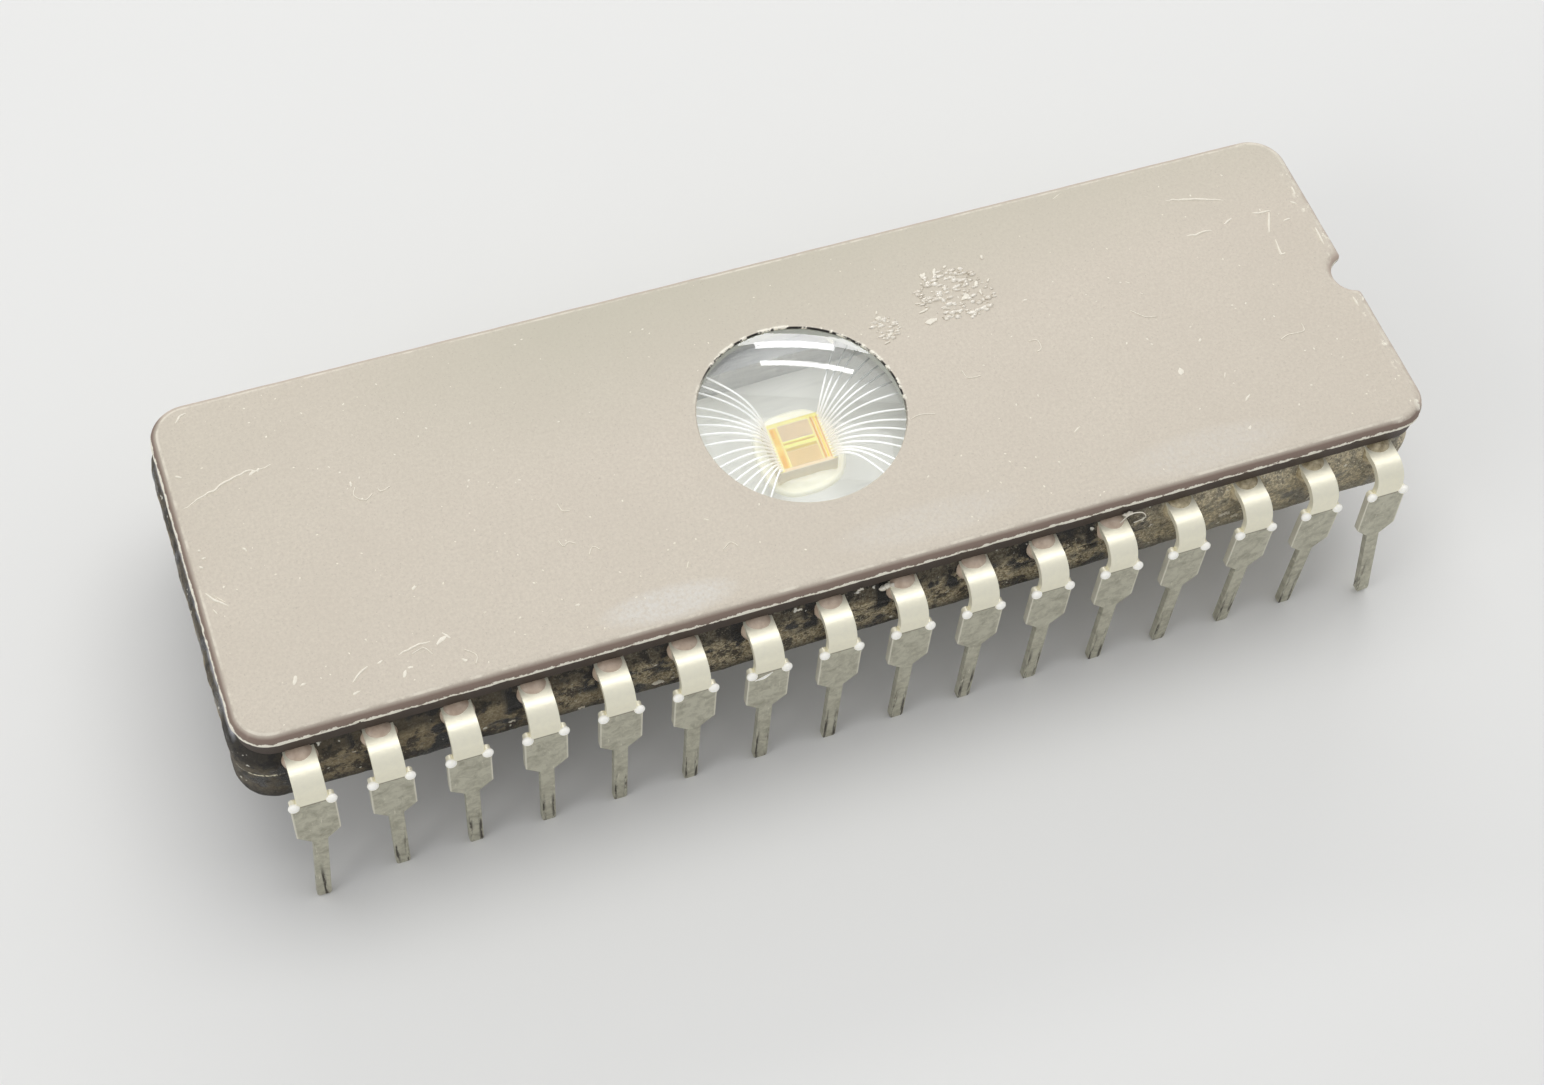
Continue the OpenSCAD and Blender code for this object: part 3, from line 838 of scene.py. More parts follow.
def domeSphere(rise):
    # Radius of the sphere that rises that far over the window
    return (well["window"] ** 2 + rise ** 2) / (2 * rise)


# Lid: a rounded edge over an undercut side, with a ridge where it is chipped
lidShape = {
    "rows": [  # inset and height of each
        (0.16, 7.25), (0.125, 7.28), (0.115, 7.4), (0.1, 7.55), (0.08, 7.7), (0.05, 7.84), (0.015, 7.94),
        (-0.005, 7.985), (0.0, 8.01), (0.006, 8.055), (0.03, 8.13), (0.07, 8.195), (0.125, 8.25), (0.19, 8.295),
        (0.26, 8.328), (0.33, 8.345), (0.4, 8.35),
    ],
    "wave": 0.012,
    "bites": 0.035,
    "ridge": (8.0, 0.11),  # height of its middle, and its half height
    "roughTo": 8.34,
}


def makeLid(shape, material):
    shell = Shell()

    def push(x, y, z):
        amount = shape["wave"] * relief(x, y, z * 0.3, 0.9)
        near = max(0.0, 1 - abs(z - shape["ridge"][0]) / shape["ridge"][1])
        bite = max(0.0, relief(x, y, z, 2.6, 7.0) - 0.12) + max(0.0, relief(x, y, z, 6.1, 3.0) - 0.25)
        return amount - near * shape["bites"] * 3 * bite

    rings = [shell.ring(pushed(bodyOutline(inset), z, push if z < shape["roughTo"] else lambda *p: 0))
             for inset, z in shape["rows"]]
    shell.loft(rings)
    radius = well["window"]
    mouth = shell.ring(circle(radius + 0.03, level["lidTop"]))
    lipped = shell.ring(circle(radius, level["lidTop"] - 0.03))
    hole = shell.ring(circle(radius, level["pocketTop"]))
    pocketHigh = wellRing(shell, level["pocketTop"], well["ledge"])
    pocketLow = wellRing(shell, level["lidLow"], well["ledge"])
    shell.cap(rings[-1], mouth)
    shell.loft((mouth, lipped, hole))
    shell.cap(pocketHigh, hole)
    shell.band(pocketLow, pocketHigh)
    shell.cap(rings[0], pocketLow)
    declare(shell.piece("lidBody", material, sharp=40), "lid_ceramic", "ceramic_lid")


# Base: rough sides where the sealing glass ran over the ceramic
baseShape = {
    "rows": [  # inset and height of each
        (0.24, 4.4), (0.17, 4.425), (0.09, 4.49), (0.03, 4.58), (0.0, 4.7), (0.0, 4.86), (0.0, 5.02), (0.0, 5.18),
        (0.0, 5.34), (0.0, 5.5), (0.0, 5.66), (0.0, 5.82), (0.0, 5.96), (0.015, 6.05), (0.3, 6.65),
    ],
    "coarse": 0.045,
    "fine": 0.02,
    "roughTo": 6.0,
}


def makeBase(shape, material):
    shell = Shell()

    def push(x, y, z):
        hold = min(1.0, max(0.0, (z - level["baseLow"]) / 0.2))
        coarse = shape["coarse"] * (relief(x, y, z, 1.1, 2.0) - 0.25)
        return hold * (coarse + shape["fine"] * relief(x, y, z, 5.0, 4.0))

    shift = bodySize["baseShift"]
    rings = [shell.ring(pushed(bodyOutline(inset, shift), z, push if z < shape["roughTo"] else lambda *p: 0))
             for inset, z in shape["rows"]]
    shell.loft(rings)
    brim = wellRing(shell, level["baseTop"])
    floor = wellRing(shell, level["wellFloor"])
    shell.cap(rings[0])
    shell.cap(rings[-1], brim)
    shell.band(floor, brim)
    shell.cap(floor)
    declare(shell.piece("baseBody", material, sharp=50), "base_ceramic", "ceramic_base")


# Seal glass: a lumpy band between the ceramics, and a bead over each lead
sealShape = {"bulge": 0.06, "coarse": 0.07, "fine": 0.03, "rows": 12, "slope": 0.3, "height": 1.2}


def makeSeal(shape, material):
    shell = Shell()
    shift = bodySize["baseShift"]

    def push(x, y, z):
        inner = min(1.0, max(0.0, (z - level["slopeLow"]) / 0.15))
        inner *= min(1.0, max(0.0, (level["lidLow"] - z) / 0.12))
        return inner * (shape["coarse"] * relief(x, y, z, 0.9, 11.0) + shape["fine"] * relief(x, y, z, 4.2, 5.0))

    slope = shell.ring([(x, y, level["baseTop"]) for x, y in bodyOutline(shape["slope"], shift)])
    rows = [slope]
    for i in range(shape["rows"] + 1):
        t = i / shape["rows"]
        inset = shape["slope"] * t * t - shape["bulge"] * math.sin(math.pi * t)
        z = level["slopeLow"] + shape["height"] * t
        rows.append(shell.ring(pushed(bodyOutline(inset, shift), z, push)))
    shell.loft(rows)
    shelfTop = wellRing(shell, level["lidLow"], well["ledge"])
    shelfLow = wellRing(shell, level["leadLow"], well["ledge"])
    brim = wellRing(shell, level["leadLow"])
    foot = wellRing(shell, level["baseTop"])
    shell.cap(rows[-1], shelfTop)
    shell.band(shelfLow, shelfTop)
    shell.cap(shelfLow, brim)
    shell.band(foot, brim)
    shell.cap(slope, foot)
    declare(shell.piece("sealBand", material, sharp=50), "seal_glass", "seal_glass")


# Leads: where each one bends down, as in the CAD
leadPlan = {
    "pitch": 2.54,
    "bendY": 6.98,
    "frameShift": 0.07,
    "bendZ": 6.35,
    "radius": 0.75,
    "splay": 1.2,
    "shoulder": 0.725,
    "neckDrop": 0.42,
    "softEdge": 0.035,
    "pinRoot": 2.79,
    "bent": {17: (-4, 4.2), 32: (7, 5.7)},
}


def leadPlace(n):
    step = 16 - n if n <= 16 else n - 17
    return (step - 7.5) * leadPlan["pitch"], (1 if n <= 16 else -1)


def onLead(n, across, out, down):
    # A point on lead n: sideways, outward from the bend's axis, and down along the lead
    plan = leadPlan
    x, row = leadPlace(n)
    lean, splay = plan["bent"].get(n, (0, plan["splay"]))
    if down > plan["pinRoot"] and lean:
        turn = math.radians(lean)
        past = down - plan["pinRoot"]
        across, down = (
            across * math.cos(turn) + past * math.sin(turn),
            plan["pinRoot"] + past * math.cos(turn) - across * math.sin(turn),
        )
    turn = math.radians(splay)
    y = plan["bendY"] + out * math.cos(turn) + down * math.sin(turn)
    z = plan["bendZ"] + out * math.sin(turn) - down * math.cos(turn)
    return (x + across, row * y - plan["frameShift"], z)


def dressLeads(material):
    for n in range(1, 33):
        name = "lead_%02d" % n
        source = nodes[name]
        mesh = source.data.copy()
        shape = bmesh.new()
        shape.from_mesh(mesh)
        bmesh.ops.remove_doubles(shape, verts=shape.verts, dist=0.000002)
        bmesh.ops.dissolve_limit(shape, angle_limit=math.radians(2), verts=shape.verts, edges=shape.edges)
        shape.to_mesh(mesh)
        shape.free()
        mesh.materials.clear()
        mesh.materials.append(material)
        piece = inScene("leadPiece_%02d" % n, mesh)
        soften = piece.modifiers.new("soften", "BEVEL")
        soften.width = leadPlan["softEdge"] * mm
        soften.segments = 2
        soften.limit_method = "ANGLE"
        soften.angle_limit = math.radians(40)
        for face in mesh.polygons:
            face.use_smooth = True
        mesh.set_sharp_from_angle(angle=math.radians(35))
        declare(piece, "tinned_lead", name)


def ball(shell, centre, radii, rings=10, segments=20, lump=0.0, seed=0.0):
    # A closed, slightly lumpy ellipsoid
    top = shell.ring([(centre[0], centre[1], centre[2] + radii[2])])
    rows = []
    for i in range(1, rings):
        polar = math.pi * i / rings
        row = []
        for k in range(segments):
            around = 2 * math.pi * k / segments
            unit = Vector((math.sin(polar) * math.cos(around), math.sin(polar) * math.sin(around), math.cos(polar)))
            grow = 1 + lump * noise.noise(unit * 1.7 + Vector((seed, seed * 0.37, 0)))
            row.append(tuple(centre[c] + radii[c] * unit[c] * grow for c in range(3)))
        rows.append(shell.ring(row))
    bottom = shell.ring([(centre[0], centre[1], centre[2] - radii[2])])
    for k in range(segments):
        shell.faces.append((top[0], rows[0][k], rows[0][(k + 1) % segments]))
        shell.faces.append((bottom[0], rows[-1][(k + 1) % segments], rows[-1][k]))
    for low, high in zip(rows[1:], rows):
        shell.band(low, high)


beadShape = {
    "inset": 0.12,
    "radii": (0.6, 0.5, 0.52),
    "height": 6.73,
    "lump": 0.06,
    "lumpScale": 1600.0,
    "endFrom": 10.0,
    "endInset": 0.17,
}


def makeBeads(shape, material, endMaterial):
    # Towards the notch end the glass climbs further out along the leads
    for name, atEnd, look in (("sealBeads", False, material), ("sealBeadsEnd", True, endMaterial)):
        inset = shape["endInset"] if atEnd else shape["inset"]
        places = []
        for n in range(1, 33):
            x, row = leadPlace(n)
            if (x > shape["endFrom"]) == atEnd:
                places.append([(x, row * (bodySize["width"] / 2 - inset), shape["height"])])
        values = {
            "Radii": [r * mm for r in shape["radii"]], "Segments": 28, "Rings": 14,
            "Lump": shape["lump"] * mm, "Lump Scale": shape["lumpScale"],
        }
        declare(nodePiece(name, lumpTree, places, values, look), "seal_glass")


nubShape = {
    "radii": (0.19, 0.14, 0.18),
    "inset": 0.12,
    "drop": 0.02,
    "lump": 0.015,
    "lumpScale": 3000.0,
    "gash": (23, (-0.5, 0.78), (0.12, 0.5)),  # the lead, then start and end across and down it
    "gashRadii": (0.016, 0.05),
}


def makeNubs(shape, material):
    # The sheared stubs at the shoulders' upper corners, and a gash across one shoulder
    places = []
    for n in range(1, 33):
        for side in (-1, 1):
            across = side * (leadPlan["shoulder"] - shape["inset"])
            places.append([onLead(n, across, leadPlan["radius"], leadPlan["neckDrop"] + shape["drop"])])
    values = {
        "Radii": [r * mm for r in shape["radii"]], "Segments": 14, "Rings": 8,
        "Lump": shape["lump"] * mm, "Lump Scale": shape["lumpScale"],
    }
    declare(nodePiece("leadNubs", lumpTree, places, values, material), "tinned_lead")
    shell = Shell()
    n, start, end = shape["gash"]
    path = []
    for i in range(9):
        t = i / 8
        across, down = (start[c] + (end[c] - start[c]) * t for c in (0, 1))
        path.append(Vector(onLead(n, across, leadPlan["radius"] + 0.005, down + 0.05 * math.sin(3 * t))))
    thin, more = shape["gashRadii"]
    tube(shell, path, lambda t: thin + more * math.sin(math.pi * t) ** 2, 8)
    declare(shell.piece("leadGash", material), "tinned_lead")


# Window: a domed lens fused into the lid
lensShape = {"radius": 3.565, "low": 7.5, "rim": 8.29, "bevel": 0.015, "rise": 0.4, "rings": 26, "around": 160}


def makeLens(shape, material):
    shell = Shell()
    radius, rim, rise = shape["radius"], shape["rim"], shape["rise"]
    sphere, around = domeSphere(rise), shape["around"]
    rings = [shell.ring(circle(radius, z, around)) for z in (shape["low"], rim - shape["bevel"])]
    for i in range(shape["rings"]):
        r = well["window"] * (1 - i / shape["rings"])
        rings.append(shell.ring(circle(r, rim + rise - sphere + math.sqrt(sphere ** 2 - r ** 2), around)))
    shell.loft(rings)
    centre = shell.ring([(0, 0, rim + rise)])[0]
    last = rings[-1]
    for k in range(len(last)):
        shell.faces.append((last[k], last[(k + 1) % len(last)], centre))
    shell.cap(rings[0])
    declare(shell.piece("windowLens", material, sharp=40), "window_glass", "window_lens")


# Die and its attach pool
dieShape = {
    "x": 0.14,
    "y": 0.14,
    "length": 1.95,
    "width": 1.8,
    "low": 5.64,
    "top": 6.1,
    "edge": 0.012,
    "sink": 0.004,
    "fieldEdge": 0.002,
    # Fine rows: how many in each array, the arrays' ends as parts of the face, width and height
    "rows": 18,
    "rowBands": ((0.1, 0.39), (0.64, 0.92)),
    "rowSpan": (0.25, 0.78),
    "rowWidth": 0.003,
    "rowRise": 0.011,
    "pad": (0.07, 0.07, 0.009),
    "padInset": 0.05,
    "padRun": 0.86,
}


def box(shell, x0, x1, y0, y1, z0, z1, edge=0.0):
    # A closed block with its upper edges bevelled
    rings = []
    for e, z in ((0, z0), (0, z1 - edge), (edge, z1))[:3 if edge else 2]:
        rings.append(shell.ring([(x0 + e, y0 + e, z), (x1 - e, y0 + e, z), (x1 - e, y1 - e, z), (x0 + e, y1 - e, z)]))
    shell.close(rings)


# Fields of the die's pattern, placed as parts of its face
dieFields = [
    # name, then left, right, back and front of each field, height, colour
    ("dieBorder", [
        (0.012, 0.085, 0.02, 0.98), (0.93, 0.988, 0.02, 0.98), (0.085, 0.93, 0.015, 0.085),
    ], 0.006, (255, 242, 150)),
    ("dieFrontLine", [(0.085, 0.93, 0.94, 0.985)], 0.006, (252, 224, 178)),
    ("dieLeftStrip", [(0.095, 0.2, 0.1, 0.45), (0.095, 0.2, 0.56, 0.93)], 0.005, (250, 208, 96)),
    ("dieLeftJoin", [(0.095, 0.2, 0.45, 0.56)], 0.005, (252, 220, 112)),
    ("dieLeftPanel", [(0.105, 0.15, 0.12, 0.3), (0.105, 0.17, 0.66, 0.9)], 0.009, (238, 182, 72)),
    ("dieThinLine", [(0.205, 0.232, 0.085, 0.93), (0.765, 0.79, 0.085, 0.93)], 0.008, (255, 236, 140)),
    ("dieUpperArray", [(0.24, 0.755, 0.1, 0.4)], 0.009, (228, 202, 160)),
    ("dieLowerArray", [(0.24, 0.755, 0.63, 0.93)], 0.009, (234, 200, 130)),
    ("dieStripes", [(0.235, 0.76, 0.415, 0.45), (0.235, 0.8, 0.485, 0.555)], 0.01, (255, 246, 142)),
    ("dieStripeGaps", [(0.235, 0.76, 0.452, 0.482), (0.235, 0.76, 0.56, 0.62)], 0.006, (224, 196, 96)),
    ("dieRightLine", [(0.8, 0.835, 0.085, 0.93), (0.9, 0.918, 0.09, 0.93)], 0.008, (234, 178, 72)),
    ("dieRightStrip", [(0.845, 0.892, 0.085, 0.93)], 0.008, (255, 224, 108)),
]


def makeDie(shape, bodyMaterial, fieldMaterial, padMaterial):
    x0, y1 = shape["x"] - shape["length"] / 2, shape["y"] + shape["width"] / 2
    shell = Shell()
    box(shell, x0, x0 + shape["length"], y1 - shape["width"], y1, shape["low"], shape["top"], shape["edge"])
    declare(shell.piece("dieBlock", bodyMaterial, flat=True), "silicon", "silicon_die")
    for name, fields, height, colour in dieFields:
        shell = Shell()
        for u0, u1, v0, v1 in fields:
            box(shell, x0 + u0 * shape["length"], x0 + u1 * shape["length"], y1 - v1 * shape["width"],
                y1 - v0 * shape["width"], shape["top"] - shape["sink"], shape["top"] + height, shape["fieldEdge"])
        declare(shell.piece(name, fieldMaterial(name, colour), flat=True), "silicon")
    # Fine rows across the two arrays, and the pads along both ends
    rows = Shell()
    rowStart, rowEnd = (x0 + part * shape["length"] for part in shape["rowSpan"])
    for low, high in shape["rowBands"]:
        for i in range(shape["rows"]):
            v = low + (high - low) * (i + 0.5) / shape["rows"]
            box(rows, rowStart, rowEnd, y1 - (v + shape["rowWidth"]) * shape["width"], y1 - v * shape["width"],
                shape["top"], shape["top"] + shape["rowRise"])
    declare(rows.piece("dieRows", fieldMaterial("dieRows", (240, 214, 160)), flat=True), "silicon")
    padX, padZ = shape["length"] / 2 - shape["padInset"], shape["top"] + shape["pad"][2] / 2
    places = [
        [(shape["x"] + end * padX, shape["y"] + shape["padRun"] * (i - 7.5) / 8, padZ)]
        for end in (-1, 1) for i in range(16)
    ]
    padSize = [side * mm for side in shape["pad"]]
    declare(nodePiece("diePads", blockTree, places, {"Size": padSize}, padMaterial, flat=True), "silicon")


poolShape = {
    "halfX": 1.37,
    "halfY": 1.48,
    "power": 2.6,  # 2 is an ellipse, and more is squarer
    "low": 5.575,
    "lift": 0.004,
    "steps": 22,
    "around": 150,
    "reach": 0.62,
    # Heights over the floor, then where along the way in the rim stands and the inner part begins, with their widths
    "ridge": 0.085,
    "dip": 0.035,
    "inner": 0.13,
    "ridgeAt": (0.94, 0.045),
    "innerAt": (0.86, 0.14),
    "fade": 0.035,
    "wave": 0.035,
    "lump": 0.035,
}


def makePool(shape, material):
    # A soft pool with a raised rim and lumps against the die
    shell = Shell()
    rings = []
    steps, around = shape["steps"], shape["around"]
    for i in range(steps + 1):
        t = 1 - i / steps * shape["reach"]
        rim = math.exp(-((t - shape["ridgeAt"][0]) / shape["ridgeAt"][1]) ** 2)
        rise = max(0.0, min(1.0, (shape["innerAt"][0] - t) / shape["innerAt"][1]))
        base = shape["dip"] + (shape["ridge"] - shape["dip"]) * rim + (shape["inner"] - shape["dip"]) * rise
        base *= min(1.0, (1 - t) / shape["fade"])
        row = []
        for k in range(around):
            a = 2 * math.pi * k / around
            c, s = math.cos(a), math.sin(a)
            wave = 1 + shape["wave"] * noise.noise(Vector((c * 1.3, s * 1.3, 4.0)))
            e = 2 / shape["power"]
            x = dieShape["x"] + shape["halfX"] * wave * t * math.copysign(abs(c) ** e, c)
            y = dieShape["y"] + shape["halfY"] * wave * t * math.copysign(abs(s) ** e, s)
            lump = shape["lump"] * rise * noise.noise(Vector((x * 4.5, y * 4.5, 1.0)))
            row.append((x, y, shape["low"] + shape["lift"] + base + lump))
        rings.append(shell.ring(row))
    bottom = shell.ring([(x, y, shape["low"]) for x, y, z in (shell.points[i] for i in rings[0])])
    shell.loft([bottom] + rings)
    shell.cap(bottom)
    shell.cap(rings[-1])
    declare(shell.piece("attachPool", material, sharp=60), "die_attach", "die_attach")


# Bond wires: the CAD's paths, with more steps, a flat foot and a rounder section
wireShape = {
    "diameter": 0.062,
    "steps": 26,
    "sides": 8,
    "arch": 0.08,
    "lift": 0.0225,  # of the wire's middle over the pad and the finger
    "land": 1.02,
    "padInset": 0.09,
    "foot": (0.08, 0.056, 0.035),
    "sway": 0.08,
    # Finger tips: the first one from the middle, their pitch, and how far they stand back from the well
    "sideFirst": 2.4,
    "endFirst": 0.45,
    "pitch": 0.6,
    "back": 0.12,
}


def wireEnds(n):
    plan, die = wireShape, dieShape
    x, row = leadPlace(n)
    turn = int(abs(x) / leadPlan["pitch"])
    if turn < 3:
        tipX, tipY = plan["sideFirst"] + plan["pitch"] * turn, well["halfY"] + plan["back"]
    else:
        tipX, tipY = well["halfX"] + plan["back"], plan["endFirst"] + plan["pitch"] * (7 - turn)
    end = 1 if x > 0 else -1
    foot = Vector((die["x"] + end * (die["length"] / 2 - plan["padInset"]),
                   die["y"] + row * die["padRun"] * (8 - turn - 0.5) / 8, die["top"] + plan["lift"]))
    headY = row * tipY * plan["land"] - leadPlan["frameShift"]
    head = Vector((end * tipX * plan["land"], headY, level["leadTop"] + plan["lift"]))
    return end, foot, head


def tube(shell, path, radius, sides):
    rings = []
    for i, point in enumerate(path):
        ahead = (path[min(i + 1, len(path) - 1)] - path[max(i - 1, 0)]).normalized()
        across = Vector((0, 0, 1)).cross(ahead).normalized()
        up = ahead.cross(across)
        size = radius(i / (len(path) - 1)) if callable(radius) else radius
        rings.append(shell.ring([
            tuple(point + size * (math.cos(a) * across + math.sin(a) * up))
            for a in (2 * math.pi * k / sides for k in range(sides))
        ]))
    shell.close(rings)


def makeWires(shape, material):
    for end, name, node in ((-1, "PlainEnd", "bond_wires_plain_end"), (1, "NotchEnd", "bond_wires_notch_end")):
        paths, feet = [], []
        for n in range(1, 33):
            side, foot, head = wireEnds(n)
            if side != end:
                continue
            drift = noise.noise(Vector((n * 1.7, 0.3, end))) * shape["sway"]
            path = []
            for i in range(shape["steps"] + 1):
                t = (i / shape["steps"]) ** 1.35
                arch = shape["arch"] * math.sin(math.pi * t ** 0.6)
                point = foot.lerp(head, t)
                point.z = foot.z + (head.z - foot.z) * (1 - (1 - t) ** 4) + arch
                sway = drift * math.sin(math.pi * t)
                path.append(point + Vector((-sway * 0.3 * end, sway, 0)))
            paths.append(path)
            feet.append([foot - Vector((0, 0, 0.0025))])
        values = {"Radius": shape["diameter"] / 2 * mm, "Sides": shape["sides"]}
        declare(nodePiece("wires" + name, sweepTree, paths, values, material, sharp=50), "bond_wire", node)
        footSize = [side * mm for side in shape["foot"]]
        declare(nodePiece("wireFeet" + name, blockTree, feet, {"Size": footSize}, material, flat=True), "bond_wire")


makeLid(lidShape, lidMaterial)
makeSeal(sealShape, sealMaterial)
makeBase(baseShape, baseMaterial)
print("ceramics done")
dressLeads(leadMaterial)
makeBeads(beadShape, beadMaterial, endBeadMaterial)
makeNubs(nubShape, nubMaterial)
print("leads done")
makeLens(lensShape, glassMaterial)
paint(nodes["floor_plating"], platingMaterial)
makePool(poolShape, attachMaterial)
makeDie(dieShape, dieMaterial, fieldMaterial, wireMaterial)
makeWires(wireShape, wireMaterial)
print("window done")


# Dust, flakes and fibres on the lid, and dried residue by the window; places in mm
dustShape = {
    "low": 8.342,
    "flakes": [
        # x, y, length, width, turn in degrees
        (-13.9, -4.75, 0.5, 0.16, 30), (-13.7, -4.62, 0.34, 0.1, -50), (-15.95, -4.93, 0.26, 0.12, 20),
        (-15.3, -5.55, 0.34, 0.12, 60), (-15.1, -5.4, 0.2, 0.1, 0), (-13.4, -5.66, 0.22, 0.1, -30),
        (-18.6, -4.75, 0.34, 0.18, 75), (-18.4, -4.95, 0.22, 0.12, 10), (-14.2, -2.64, 0.24, 0.13, 40),
        (-18.0, 3.16, 0.3, 0.13, 20), (-17.8, 3.2, 0.24, 0.1, 60), (-16.9, -5.75, 0.3, 0.1, 15),
        (-9.43, -4.83, 0.15, 0.11, 0), (-5.6, -4.49, 0.3, 0.05, 60), (-4.45, -3.04, 0.25, 0.05, -30),
        (12.91, 1.77, 0.22, 0.09, -40), (13.2, 1.15, 0.18, 0.05, -50), (9.12, 2.13, 0.26, 0.07, 10),
        (14.32, -1.28, 0.16, 0.1, 40), (13.11, -2.3, 0.3, 0.2, 80), (14.86, -4.0, 0.4, 0.07, 35),
        (14.52, -2.9, 0.28, 0.06, 60), (8.71, -3.43, 0.36, 0.08, 30), (14.4, -5.15, 0.2, 0.11, 50),
        (12.05, 6.1, 0.5, 0.04, 25),
        (-20.1, -1.2, 0.5, 0.04, -50), (-20.35, -1.6, 0.3, 0.05, -70), (-12.3, -4.2, 0.12, 0.07, 0),
    ],
    "fibres": [
        [(-8.9, -1.0), (-8.83, -1.3), (-8.6, -1.36)], [(-9.3, -2.35), (-9.2, -2.6), (-9.0, -2.5), (-8.8, -2.62)],
        [(-14.98, 1.6), (-15.1, 1.3), (-14.8, 1.03), (-14.5, 1.2)], [(-14.3, 1.35), (-14.2, 1.2), (-13.9, 1.3)],
        [(18.07, -1.7), (18.0, -2.02), (17.4, -2.0), (17.07, -2.12)],
        [(8.55, 0.45), (8.85, 0.4), (8.85, 0.05), (8.65, -0.05)], [(5.85, 0.0), (5.95, -0.35), (6.4, -0.4)],
        [(3.45, -1.35), (3.8, -1.28), (4.3, -1.4)], [(-4.3, -4.3), (-4.0, -4.1), (-3.8, -4.3)],
        [(-8.5, -3.15), (-8.3, -2.9), (-8.1, -3.1)], [(12.5, 0.6), (12.9, 0.2), (13.3, 0.1)],
        [(-13.3, -5.3), (-13.0, -5.6), (-13.1, -5.9)], [(-14.9, -4.95), (-14.5, -4.85), (-14.3, -5.15)],
    ],
    "scratches": [
        [(-20.49, -0.85), (-20.25, -1.18), (-19.91, -1.51)], [(-16.92, -5.33), (-16.33, -4.9)],
        [(-15.31, -4.86), (-14.79, -4.72), (-14.25, -4.7)],
        [(-20.42, 2.46), (-20.02, 2.62), (-19.61, 2.82), (-19.27, 2.89), (-19.05, 3.02), (-18.61, 3.13),
         (-18.12, 3.26), (-17.8, 3.22), (-17.36, 3.31)],
        [(-19.93, 5.8), (-19.75, 5.98), (-19.51, 6.08)], [(-20.36, 0.78), (-20.27, 0.72)],
        [(-20.31, 0.43), (-20.17, 0.43)], [(-20.45, 0.2), (-20.34, 0.09)], [(-18.99, 0.45), (-18.89, 0.29)],
        [(-15.07, 1.88), (-15.1, 1.68)], [(-20.4, 3.76), (-20.22, 3.64)],
        [(15.77, 4.77), (16.76, 4.5), (17.79, 4.16)], [(18.54, 3.27), (19.24, 3.19)], [(19.16, 3.15), (18.75, 2.34)],
        [(18.83, 1.94), (18.74, 1.31), (18.91, 1.3)], [(15.81, 3.04), (16.3, 3.02), (16.81, 3.04)],
        [(17.34, 3.14), (17.73, 3.32)], [(19.48, 2.65), (19.77, 2.67)], [(20.47, 3.97), (20.44, 3.64)],
        [(20.12, 3.37), (20.3, 3.21)], [(20.47, 2.05), (20.44, 1.62), (20.43, 1.27)], [(20.37, -1.2), (20.38, -1.59)],
    ],
    "scratchRadius": 0.05,
    "fibreRadius": 0.02,
    "faceY": -6.58,
    "fibreLift": 0.22,
    "faceChips": [
        # x, z, size
        (0.7, 7.08, 0.17), (-7.19, 4.98, 0.13), (-0.28, 7.4, 0.07), (-2.4, 7.2, 0.06), (9.4, 7.4, 0.12),
        (13.45, 5.5, 0.14), (13.9, 5.15, 0.1), (-9.85, 4.75, 0.08), (-12.2, 5.2, 0.08), (4.1, 5.1, 0.07),
    ],
    "faceFibres": [
        [(9.0, 7.35), (9.3, 7.75), (9.75, 7.65), (9.95, 7.25), (9.55, 7.1)],
        [(12.1, 6.1), (12.5, 5.6), (12.55, 5.1)],
        [(16.6, 5.2), (16.9, 5.75), (17.2, 5.6), (17.05, 5.1)],
        [(-3.6, 5.3), (-3.3, 5.5), (-3.0, 5.2)],
    ],
    # name, from x, to x, count, seed
    "specks": [("specksPlainEnd", -20.4, -8.0, 190, 11), ("specksNotchEnd", -8.0, 20.4, 250, 12)],
    "speckSizes": (0.016, 0.05),
    "speckHalf": 6.15,
    "speckClear": 3.8,
    "residue": [
        # x, y, half length, half width, turn in degrees, lumps
        (6.9, 3.1, 1.35, 1.1, -16, 170), (4.05, 2.45, 0.5, 0.5, 0, 50),
    ],
    "lumpSizes": (0.03, 0.12),
    "crumbs": [
        # x, y, length, width, turn in degrees
        (6.05, 4.18, 0.255, 0.15, 35), (6.49, 4.17, 0.375, 0.105, 65), (6.96, 4.32, 0.15, 0.06, 25),
        (7.42, 4.09, 0.105, 0.09, 15), (6.6, 3.45, 0.165, 0.09, 5), (6.26, 3.09, 0.21, 0.105, 15),
        (7.15, 2.85, 0.3, 0.135, 15), (7.74, 3.29, 0.21, 0.105, 45), (8.2, 3.31, 0.18, 0.075, 35),
        (7.75, 2.92, 0.225, 0.075, 85), (5.62, 2.25, 0.375, 0.18, 15), (6.22, 2.22, 0.18, 0.12, 45),
        (5.44, 3.08, 0.18, 0.06, -5), (5.51, 2.73, 0.3, 0.06, 15), (6.78, 2.36, 0.225, 0.06, 35),
        (8.38, 4.34, 0.18, 0.075, 65), (3.9, 2.91, 0.195, 0.09, -5), (4.06, 2.13, 0.255, 0.075, 25),
        (3.82, 1.84, 0.225, 0.045, 15), (3.93, 3.16, 0.15, 0.06, 65),
    ],
    "seed": 11,
}


def turned(x, y, u, v, turn):
    # The point u along and v across from x, y, in a frame turned by that many degrees
    angle = math.radians(turn)
    return x + u * math.cos(angle) - v * math.sin(angle), y + u * math.sin(angle) + v * math.cos(angle)


